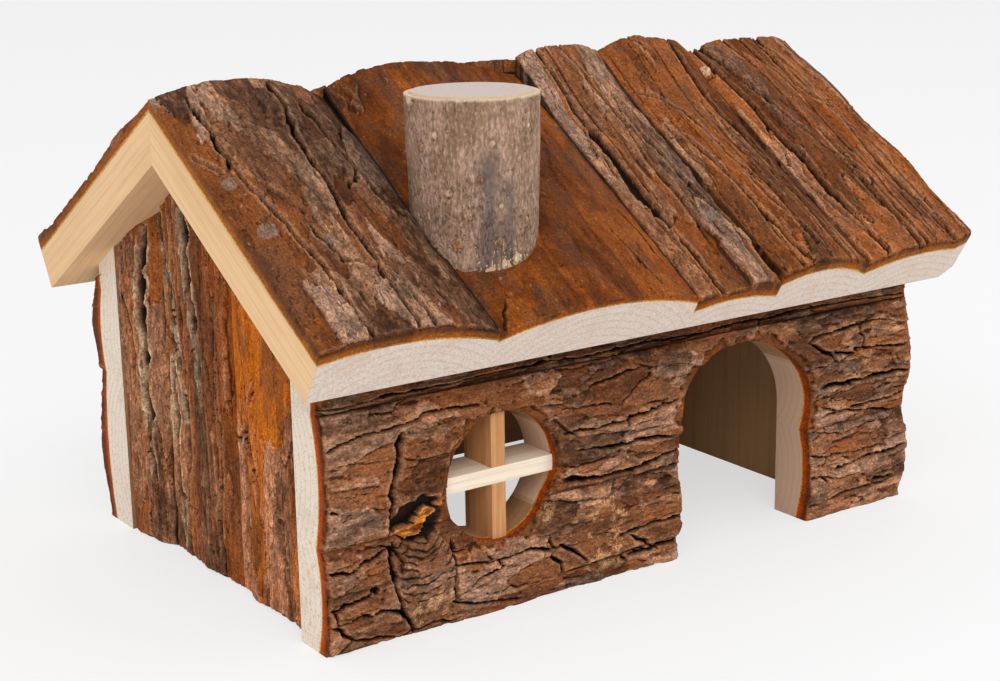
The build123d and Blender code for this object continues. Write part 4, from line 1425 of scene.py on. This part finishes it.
def arched_opening(board_low, left, right, crown, height, left_shoulder, right_shoulder):
    """Distance to the doorway's edge in board millimetres; the wall's grain runs across the doorway."""
    def away(u, s):
        z = u + board_low
        half = np.where(s < crown, crown - left, right - crown)
        rise = np.where(s < crown, left_shoulder, right_shoulder)
        spring = height - rise
        x = (s - crown) / half
        y = np.maximum(z - spring, 0) / rise
        reach = np.hypot(x, y)
        size = np.hypot(x / half, y / rise) / np.maximum(reach, 1e-6)
        return (reach - 1) / np.maximum(size, 1e-6)
    return away


def door_sizes():
    """The doorway's left and right side in millimetres, from the boards beside it."""
    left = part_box("front_wall_lower_left")[1].x / MM
    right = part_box("front_wall_lower_right")[0].x / MM
    return left, right


def window_sizes():
    """The window's centre and radius in millimetres, from its bars."""
    low, high = (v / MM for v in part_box("window_bar_horizontal"))
    return (low.x + high.x) / 2, (low.z + high.z) / 2, (high.x - low.x) / 2


# ---------------- styles of each board's bark

def front_roof_styles():
    """Bark of the front roof boards, left to right."""
    plated = Bark(
        seed=3, inner=3.8, pitch=13, length=44, flaked=0.4, skin=(9, 30, 0.5), veins=0.7, layers=0.26,
        skew=-0.04, furrow_open=0.25, furrow_width=0.6, shoulder=5.0, flakes=((5.5, 18, 0.4), (2.4, 8, 0.24)),
        light=(180, 134, 102), dark=(68, 41, 24), rust=(112, 60, 27), rim=(156, 90, 38),
        ridge_drop=1.0, aged=0.7, tear=0.4, swells=((0, 93, 9, 18, -1.8),),
        peels=((3, 50, 7, 34), (9, 40, 6, 14), (2, 12, 5, 22)),
        # The first darker place is painted shade on the bark's right side, sloping down to the seam with the
        # next board
        shades=((46, 45, 5, 70, 0.35), (22, 12, 14, 14, 0.15)),
        lichen=((5, 57, 2.2), (6, 39, 2.6), (19, 32, 2.0)),
        splits=((1.0, (9, 90), (8, 72), (8, 62)), (0.7, (8, 62), (11, 43), (13, 27), (13, 12), (14, -2)),
                (1.35, (33, 94), (33, 81), (29, 68), (28, 43), (27, 21)), (1.0, (27, 22), (26, 12), (26, -2)),
                (0.6, (18, 38), (19, 25), (26, 20)), (0.7, (31, 14), (31, -2)),
                (0.8, (38, 84), (40, 64), (42, 44)), (0.5, (1, 70), (5, 61)),
                (0.9, (18.4, 86.5), (19.6, 85))))
    bare = Bark(
        seed=5, thickness=2.1, inner=1.8, pitch=16, length=70, veins=0.12, furrow_open=0.1, furrow_width=0.3,
        lift=0.2, layers=0.12, flakes=((5, 20, 0.14), (2, 7, 0.1)), light=(128, 72, 34), dark=(76, 38, 15),
        rust=(130, 62, 10), fibre=0.2, tear=0.3, shoulder=3.0, aged=0.1,
        swells=((8, 90, 9, 14, 1.2), (40, 98, 10, 16, -1.4), (57, 98, 9, 16, -2.0)),
        peels=((30, 44, 44, 62),),
        # Two darker places are painted shadow: by the left side beside the higher first board, and by the
        # right side beside the higher third board
        shades=((3, 30, 7, 30, 0.3), (50, 52, 11, 18, 0.7), (12, 80, 10, 14, 0.1), (34, 96, 30, 8, 0.3),
                (24, 20, 12, 10, 0.2)),
        splits=((0.25, (50, 26), (52, 4)), (0.25, (59, 34), (60, 12))))
    ribbed = Bark(ribbed=True, lift=0.55, seam_shade=0.45, veins=0.65, layers=0.24, shoulder=1.0, tear=0.4)
    ridged = replace(
        ribbed, seed=8, thickness=4.7, pitch=8.5, length=60, flaked=0.55, skin=(8, 60, 0.7), furrow_depth=3.4,
        furrow_open=0.5, lift=0.8, wander=1.0, flakes=((3.5, 20, 0.2), (1.5, 8, 0.12)),
        light=(172, 128, 98), dark=(66, 38, 21), rust=(130, 68, 26), ridge_drop=-2.6, tear=0.5, aged=0.8,
        seam=3.8,
        peels=((13, 10, 6, 17),), lichen=((21.5, 26, 2.0),), swells=((29, 0, 8, 45, 2.8),),
        splits=((0.8, (7, 96), (7, 60)), (2.2, (7, 66), (7, 46), (8, 28)), (1.1, (8, 32), (9, 14), (9, -2)),
                (0.7, (15, 96), (18, 78), (20, 54)), (0.7, (22, 60), (23, 40), (25, 32)),
                (0.9, (28, 44), (28, 4))))
    red = replace(
        ribbed, seed=11, length=90, flaked=0.8, skin=(6, 50, 0.7), furrow_width=0.6, furrow_open=0.42,
        wander=0.8, skew=-0.03, flakes=((5, 34, 0.22), (1.8, 12, 0.12)), ridge_drop=-2.2, fresh=0.7, seam=3.9,
        light=(174, 118, 80), dark=(74, 40, 19), rust=(142, 71, 19), rim=(154, 90, 36),
        swells=((32, 96, 5, 9, 1.6), (32, 74, 5, 34, 1.6)),
        splits=((0.9, (10, 97), (16, 88)), (0.7, (2, 78), (12, 66), (13, 50), (15, 32)),
                (0.8, (5, 55), (8, 32), (10, -2)), (0.6, (13, 37), (15, 15), (16, -2)),
                (0.5, (21, 70), (24, 20)), (0.6, (27, 60), (26, 30), (27, -2))))
    rusty = replace(
        ribbed, seed=14, pitch=8.5, length=80, flaked=0.85, skin=(7, 46, 0.7), furrow_width=0.65, wander=0.9,
        skew=0.02, flakes=((5.5, 36, 0.24), (2, 12, 0.12)), ridge_drop=2.0, aged=0.45, fresh=0.7, seam=3.6,
        light=(186, 124, 84), dark=(78, 42, 19), rust=(152, 76, 18), rim=(154, 88, 34),
        twigs=((1.8, 83.5, 1.9),), swells=((45, 37, 5, 12, 1.9),),
        splits=((0.8, (8, 96), (9, 80)), (0.9, (17, 96), (18, 84)), (0.85, (30, 95), (26, 69), (35, 48)),
                (0.8, (9, 75), (13, 53), (19, 35), (18, 12)), (1.2, (19, 49), (22, 28), (22, -2)),
                (0.8, (36, 42), (35, 14)), (0.65, (2, 37), (6, 13), (7, -2)), (0.7, (28, 40), (29, 12))))
    return [plated, bare, ridged, red, rusty]


def back_roof_styles():
    """Bark of the back roof boards, as seen from the back, left to right."""
    ribbed = Bark(seed=24, ribbed=True, length=80, wander=1.2, flakes=((3.5, 22, 0.25), (1.5, 8, 0.12)),
                  light=(156, 106, 72), dark=(80, 44, 23), ridge_drop=1.2)
    plated = Bark(seed=27, pitch=14, length=46, furrow_open=0.3, flakes=((5, 16, 0.3), (2, 6, 0.15)),
                  light=(154, 110, 82), dark=(78, 46, 27), rust=(122, 64, 27), ridge_drop=1.0)
    return [replace(ribbed, seed=21, light=(156, 100, 66), ridge_drop=2.6, peels=((30, 20, 7, 22),)),
            replace(ribbed, seed=25, pitch=7),
            replace(plated, skew=0.05, peels=((44, 60, 9, 26),)),
            replace(ribbed, seed=29, pitch=6.5, length=70),
            replace(plated, seed=33, skew=-0.05, peels=((41, 40, 6, 40),),
                    swells=((45, 93, 10, 18, -1.5), (45, 8, 8, 18, 1.5)))]


def wall_style(seed, **changes):
    """Bark of a long wall's board: flat scales that lie along the wall."""
    base = Bark(seed=seed, pitch=7, length=24, furrow_width=0.5, furrow_open=0.42, furrow_depth=2.2, lift=0.8,
                overlap=0.6, wander=1.6, flakes=((4, 13, 0.34), (1.8, 6, 0.2)), layers=0.24, aged=0.6,
                seam=4.0, shoulder=1.0, seam_shade=0.4, skin=(7, 18, 0.5),
                light=(188, 138, 106), dark=(82, 50, 31), rust=(130, 74, 40), rim=(176, 72, 20))
    return replace(base, **changes)


def front_wall_styles(seam):
    """Bark of the front wall's lower left, lower right, middle and top board; a knot lies over their seam."""
    knot_up, knot_along, knot_radius = 31, 27, 6.8
    lower_left = wall_style(
        41, knots=((knot_up, knot_along, knot_radius),), eyes=((15, 28.5, 13, 7.5),), lichen=((5, 42, 2.4),),
        dust=((6, 29, 6, 6), (9, 86, 7, 9), (19, 89, 5, 5), (24, 68, 3, 3)),
        splits=((1.0, (26, 19), (21, 19), (15, 19.5), (8, 21), (1, 25)), (0.7, (22, -2), (22, 6), (24, 17)),
                (0.9, (13, 4), (14, 9), (15, 13)), (1.6, (15, 12), (15.5, 14)),
                (0.8, (24, 36), (14, 37), (6, 38)), (0.8, (15, 50), (15, 60), (14, 70), (7, 80)),
                (0.7, (12, 90), (14, 113)), (1.1, (6, 94), (5, 113))))
    lower_right = wall_style(
        43, splits=((0.8, (15, 10), (17, 37)), (1.1, (8, 25), (8, 33)), (0.7, (5, 9), (7, 34))))
    middle = wall_style(
        45, knots=((knot_up - seam, knot_along, knot_radius),), shades=((16, 27, 10, 8, 0.35),),
        splits=((1.2, (26, 22), (17, 20), (11, 18), (1, 19)), (0.7, (17, 72), (16, 85), (18, 102), (20, 112)),
                (0.8, (4, 71), (1, 85), (4, 112)), (0.5, (26, 0), (28, 11), (29, 23), (29, 45)),
                (0.9, (13, 163), (13, 177), (13, 199)), (0.6, (27, 159), (31, 185)),
                (0.7, (11, 76), (10, 95), (9, 112)), (0.7, (4, 165), (5, 199)), (0.6, (22, 168), (21, 198))))
    # Its light and dark colours are much darker than the other boards': painted shadow under the roof's
    # overhang
    top = wall_style(
        47, light=(110, 76, 52), dark=(54, 33, 20), lift=0.6, thickness=3.2, wander=0.8,
        splits=((0.7, (2, 0), (3, 60), (2, 120)), (0.8, (1, 110), (3, 160), (2, 199))))
    return [lower_left, lower_right, middle, top]


def gable_styles():
    """Bark of the gables: left front, middle and rear, then right rear, middle and front."""
    base = Bark(ribbed=True, length=70, furrow_depth=3.2, lift=1.0, wander=1.2,
                flakes=((3.5, 22, 0.25), (1.5, 9, 0.12)), aged=0.15, fresh=0.6, light=(196, 132, 92),
                dark=(78, 42, 21), rust=(162, 82, 30), skin=(6, 50, 0.5), flaked=0.5, seam=3.8, shoulder=1.2,
                seam_shade=0.4, veins=0.65, layers=0.24, worn=1.5)
    left_front = replace(
        base, seed=61, ribbed=False, pitch=9, length=40, furrow_open=0.32, furrow_width=0.5, lift=0.7,
        shoulder=2.5, inner=4.1, light=(222, 154, 114), dark=(124, 72, 42), rust=(232, 124, 30), flaked=0.15,
        peels=((30, 68, 16, 24), (18, 62, 12, 14), (10, 80, 14, 20)),
        splits=((0.6, (37, 54), (30, 38), (26, 24), (22, 3)), (0.6, (24, 42), (16, 27), (10, 4)),
                (0.5, (11, 50), (9, 37)), (1.5, (14.5, 27), (15.5, 25))))
    left_middle = replace(
        base, seed=63, peels=((-1, 66, 5, 24),),
        splits=((2.6, (39, 102), (38, 87), (36, 59), (35, 30), (33, 3)), (2.4, (22, 100), (20, 71), (17, 49)),
                (0.8, (36, 21), (20, 10)), (1.7, (33, 100), (34, 70), (30, 40)),
                (0.8, (9, 80), (8, 40), (10, 4)), (0.7, (27, 60), (28, 20))))
    left_rear = replace(
        base, seed=65, light=(176, 118, 82), aged=0.3, lift=0.6,
        splits=((2.8, (5, 92), (9, 71), (7, 57), (8, 41), (6, 20)), (1.4, (17, 74), (12, 62), (12, 46)),
                (1.6, (16, 44), (17, 42))))
    right_rear = replace(base, seed=71, light=(164, 108, 76))
    right_front = replace(base, seed=75, ribbed=False, pitch=10, length=40, furrow_open=0.3,
                          light=(168, 118, 86))
    return [left_front, left_middle, left_rear], [right_rear, replace(base, seed=73, pitch=9), right_front]


# ---------------- operators

def relief_spacing(back=False):
    """Distance in millimetres between the points of a bark grid."""
    settings = bpy.context.scene.house_settings
    full = settings.back_spacing if back else settings.relief_spacing
    return (full) / MM


def dress_boards(boards, styles, back=False):
    """Makes the bark of each board in its own style."""
    group = bpy.data.node_groups.get("Bark layers") or bark_layers_group()
    for board, style in zip(boards, styles):
        material = bark_material(f"{board.node} bark", style, group)
        bark_piece(board, style, material, relief_spacing(back))


class HOUSE_OT_front_roof_bark(bpy.types.Operator):
    """Bark on the five front roof boards"""
    bl_idname = "house.front_roof_bark"
    bl_label = "Front roof bark"

    def execute(self, context):
        dress_boards(front_roof_boards(), front_roof_styles())
        return {"FINISHED"}


class HOUSE_OT_back_roof_bark(bpy.types.Operator):
    """Bark on the back roof boards"""
    bl_idname = "house.back_roof_bark"
    bl_label = "Back roof bark"

    def execute(self, context):
        boards = [roof_board(1, number, ROOF_BOARDS) for number in range(1, ROOF_BOARDS + 1)]
        dress_boards(boards, back_roof_styles(), back=True)
        return {"FINISHED"}


class HOUSE_OT_front_wall_bark(bpy.types.Operator):
    """Bark on the front wall, sawn round the window and the doorway"""
    bl_idname = "house.front_wall_bark"
    bl_label = "Front wall bark"

    def execute(self, context):
        window_x, window_z, radius = window_sizes()
        left, right = door_sizes()
        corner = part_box("front_wall_middle")[0]
        wall_left, seam = corner.x / MM, corner.z / MM
        window = window_x - wall_left
        door = arched_opening(seam, left - wall_left, right - wall_left,
                              left - wall_left + (right - left) * DOOR_CROWN_SHARE, DOOR_HEIGHT,
                              DOOR_LEFT_SHOULDER, DOOR_RIGHT_SHOULDER)
        below = round_opening(window_z, window, radius)
        above = round_opening(window_z - seam, window, radius)
        openings = {"lower_left": (below,), "lower_right": (), "middle": (above, door), "top": ()}
        boards = [wall_board(-1, f"front_wall_{name}", sawn) for name, sawn in openings.items()]
        dress_boards(boards, front_wall_styles(seam))
        return {"FINISHED"}


class HOUSE_OT_back_wall_bark(bpy.types.Operator):
    """Bark on the back wall"""
    bl_idname = "house.back_wall_bark"
    bl_label = "Back wall bark"

    def execute(self, context):
        styles = [wall_style(51, swells=((22, 199, 14, 24, 2.2),)),
                  wall_style(53, swells=((14, 199, 14, 24, 2.6),)),
                  wall_style(55, thickness=3.2, swells=((6, 199, 10, 20, 1.6),))]
        boards = [wall_board(1, f"back_wall_{name}") for name in ("lower", "middle", "top")]
        dress_boards(boards, styles, back=True)
        return {"FINISHED"}


class HOUSE_OT_gable_bark(bpy.types.Operator):
    """Bark on both gables"""
    bl_idname = "house.gable_bark"
    bl_label = "Gable bark"

    def execute(self, context):
        left_styles, right_styles = gable_styles()
        left = [gable_board(-1, f"left_gable_{name}") for name in ("front", "middle", "rear")]
        right = [gable_board(1, f"right_gable_{name}") for name in ("rear", "middle", "front")]
        dress_boards(left, left_styles)
        dress_boards(right, right_styles, back=True)
        return {"FINISHED"}


class HOUSE_OT_chimney_bark(bpy.types.Operator):
    """Thin bark on the chimney's branch"""
    bl_idname = "house.chimney_bark"
    bl_label = "Chimney bark"

    def execute(self, context):
        stub_piece(branch_material(), relief_spacing() * 0.9)
        return {"FINISHED"}


HEART_DEPTH = 0.03         # metres from the middle of a wall's or gable's board to its tree's heart line
ROOF_HEART_DEPTH = 0.034


def wood_of(name):
    """A wooden node's grain, heart line, and colours: side, end, line, sawn openings' end, and its fuzz."""
    low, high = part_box(name)
    middle = (low + high) / 2
    if name.startswith("roof_"):
        grain, outward = slope_directions(-1 if "front" in name else 1)
        return (grain, middle - outward * ROOF_HEART_DEPTH,
                (240, 200, 152), (213, 196, 182), (216, 168, 118), None, 0.4)
    if "gable" in name:
        away = Vector((-HEART_DEPTH if "left" in name else HEART_DEPTH, 0, 0))
        return Vector((0, 0, 1)), middle - away, (196, 152, 108), (232, 214, 196), (168, 122, 80), None, 0.9
    if "wall" in name:
        away = Vector((0, -HEART_DEPTH if "front" in name else HEART_DEPTH, 0))
        # The walls' side wood is darker brown than the other boards': painted shade for the dim inside of the
        # house, where it mostly shows
        return (Vector((1, 0, 0)), middle - away,
                (166, 124, 88), (236, 218, 194), (134, 92, 58), (212, 176, 148), 0.7)
    if name == "window_bar_horizontal":
        return (Vector((1, 0, 0)), middle + Vector((0, 0.004, -0.03)),
                (242, 228, 208), (242, 228, 208), (214, 184, 148))
    if name == "window_bar_upright":
        return (Vector((0, 0, 1)), middle + Vector((0.03, 0.01, 0)),
                (204, 150, 98), (204, 150, 98), (146, 82, 36))
    return (Vector((0, 0, 1)), middle + Vector((0.003, 0.004, 0)),
            (206, 176, 140), (196, 182, 176), (176, 150, 128), None, 0.12)


class HOUSE_OT_sawn_wood(bpy.types.Operator):
    """Finish of the boards, the window bars, the chimney's wood and the fasteners"""
    bl_idname = "house.sawn_wood"
    bl_label = "Sawn wood"

    def execute(self, context):
        group = sawn_wood_group()
        steel = steel_material()
        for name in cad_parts:
            if "brads" in name or name == "chimney_screw":
                assign(name, steel)
            elif not name.endswith("_bark"):
                assign(name, wood_material(f"{name} wood", group, *wood_of(name)))
        return {"FINISHED"}


class HOUSE_OT_stage(bpy.types.Operator):
    """Floor, soft light and camera"""
    bl_idname = "house.stage"
    bl_label = "Stage"

    def execute(self, context):
        settings = context.scene.stage_settings
        deselect()
        bpy.ops.mesh.primitive_plane_add(size=6.0, location=(0, 0, 0))
        floor = context.object
        floor.name = "floor"
        floor.data.materials.append(floor_material())
        world_light(context.scene, settings.sky_strength)
        add_lamp("key light", (-0.55, -0.95, 1.05), 1.1, settings.key_power)
        add_lamp("fill light", (0.95, -0.75, 0.65), 1.2, settings.key_power * 0.35)
        place_camera(context.scene, settings)
        context.scene.view_settings.view_transform = "Standard"
        return {"FINISHED"}


LAMP_TARGET = Vector((0, 0, 0.06))    # metres; where both lamps point


def shown_to_camera(tree, output, plain, shown, share):
    """Shows the camera one shader over another by a share, and the other rays the plain one."""
    mix = put(tree, "ShaderNodeMixShader")
    for socket, value in ((mix.inputs[0], share), (mix.inputs[1], plain), (mix.inputs[2], shown),
                          (output.inputs["Surface"], mix.outputs[0])):
        feed(tree, socket, value)


def floor_material():
    """A pale matt floor that stays near white to the camera and keeps the shadow."""
    material, tree, shader = new_material("pale floor")
    shader.inputs["Base Color"].default_value = (0.86, 0.86, 0.86, 1)
    shader.inputs["Roughness"].default_value = 0.9
    glow = put(tree, "ShaderNodeEmission")
    glow.inputs["Strength"].default_value = 1.0
    path = put(tree, "ShaderNodeLightPath")
    shown_to_camera(tree, tree.nodes["Material Output"], shader.outputs[0], glow.outputs[0],
                    times(tree, path.outputs["Is Camera Ray"], 0.62))
    return material


def world_light(scene, strength):
    """Even white light from all round, and a white background to the camera."""
    scene.world = bpy.data.worlds.new("white room")
    scene.world.use_nodes = True
    tree = scene.world.node_tree
    tree.nodes.clear()
    lights = []
    for power in (strength, 1.0):
        light = put(tree, "ShaderNodeBackground")
        light.inputs["Color"].default_value = (1, 1, 1, 1)
        light.inputs["Strength"].default_value = power
        lights.append(light.outputs[0])
    path = put(tree, "ShaderNodeLightPath").outputs
    seen = math_node(tree, "MAXIMUM", path["Is Camera Ray"], path["Is Glossy Ray"])
    seen = math_node(tree, "MAXIMUM", seen, path["Is Transmission Ray"])
    shown_to_camera(tree, put(tree, "ShaderNodeOutputWorld"), *lights, seen)


def add_lamp(name, spot, size, power):
    """A large square lamp that faces the house."""
    data = bpy.data.lights.new(name, "AREA")
    data.size = size
    data.energy = power
    lamp = bpy.data.objects.new(name, data)
    bpy.context.scene.collection.objects.link(lamp)
    lamp.location = spot
    lamp.rotation_euler = (LAMP_TARGET - Vector(spot)).to_track_quat("-Z", "Y").to_euler()


def place_camera(scene, settings):
    """The camera at its place, turned by yaw, pitch and roll."""
    data = bpy.data.cameras.new("camera")
    camera = bpy.data.objects.new("camera", data)
    scene.collection.objects.link(camera)
    yaw, pitch, roll = settings.camera_yaw, settings.camera_pitch, settings.camera_roll
    ahead = Vector((math.cos(pitch) * math.sin(yaw), math.cos(pitch) * math.cos(yaw), -math.sin(pitch)))
    right = ahead.cross(Vector((0, 0, 1))).normalized()
    up = right.cross(ahead)
    turned_right = right * math.cos(roll) + up * math.sin(roll)
    turned_up = up * math.cos(roll) - right * math.sin(roll)
    turn = Matrix((turned_right, turned_up, -ahead)).transposed()
    camera.matrix_world = Matrix.Translation(Vector(settings.camera_place)) @ turn.to_4x4()
    data.sensor_width = 36.0
    data.lens = settings.focal_pixels / IMAGE_WIDTH * data.sensor_width
    data.clip_start, data.clip_end = 0.01, 20.0
    scene.camera = camera


OPERATORS = (
    HOUSE_OT_stage,
    HOUSE_OT_sawn_wood,
    HOUSE_OT_front_roof_bark,
    HOUSE_OT_back_roof_bark,
    HOUSE_OT_front_wall_bark,
    HOUSE_OT_back_wall_bark,
    HOUSE_OT_gable_bark,
    HOUSE_OT_chimney_bark,
)


class HOUSE_PT_panel(bpy.types.Panel):
    """Buttons for each group of pieces"""
    bl_label = "Bark House"
    bl_idname = "HOUSE_PT_panel"
    bl_space_type = "VIEW_3D"
    bl_region_type = "UI"
    bl_category = "Bark House"

    def draw(self, context):
        for kind, settings in ((HouseSettings, context.scene.house_settings),
                               (StageSettings, context.scene.stage_settings)):
            for name in kind.__annotations__:
                self.layout.prop(settings, name)
        for operator in OPERATORS:
            self.layout.operator(operator.bl_idname)


CLASSES = (HouseSettings, StageSettings, *OPERATORS, HOUSE_PT_panel)


def register():
    """Adds the classes and the settings to Blender."""
    for cls in CLASSES:
        bpy.utils.register_class(cls)
    bpy.types.Scene.house_settings = bpy.props.PointerProperty(type=HouseSettings)
    bpy.types.Scene.stage_settings = bpy.props.PointerProperty(type=StageSettings)


def unregister():
    """Takes them away again."""
    del bpy.types.Scene.stage_settings
    del bpy.types.Scene.house_settings
    for cls in reversed(CLASSES):
        bpy.utils.unregister_class(cls)


def main():
    """Dresses the house."""
    register()
    bpy.ops.house.stage()
    bpy.ops.house.sawn_wood()
    bpy.ops.house.front_roof_bark()
    bpy.ops.house.back_roof_bark()
    bpy.ops.house.front_wall_bark()
    bpy.ops.house.back_wall_bark()
    bpy.ops.house.gable_bark()
    bpy.ops.house.chimney_bark()


if __name__ == "__main__":
    main()
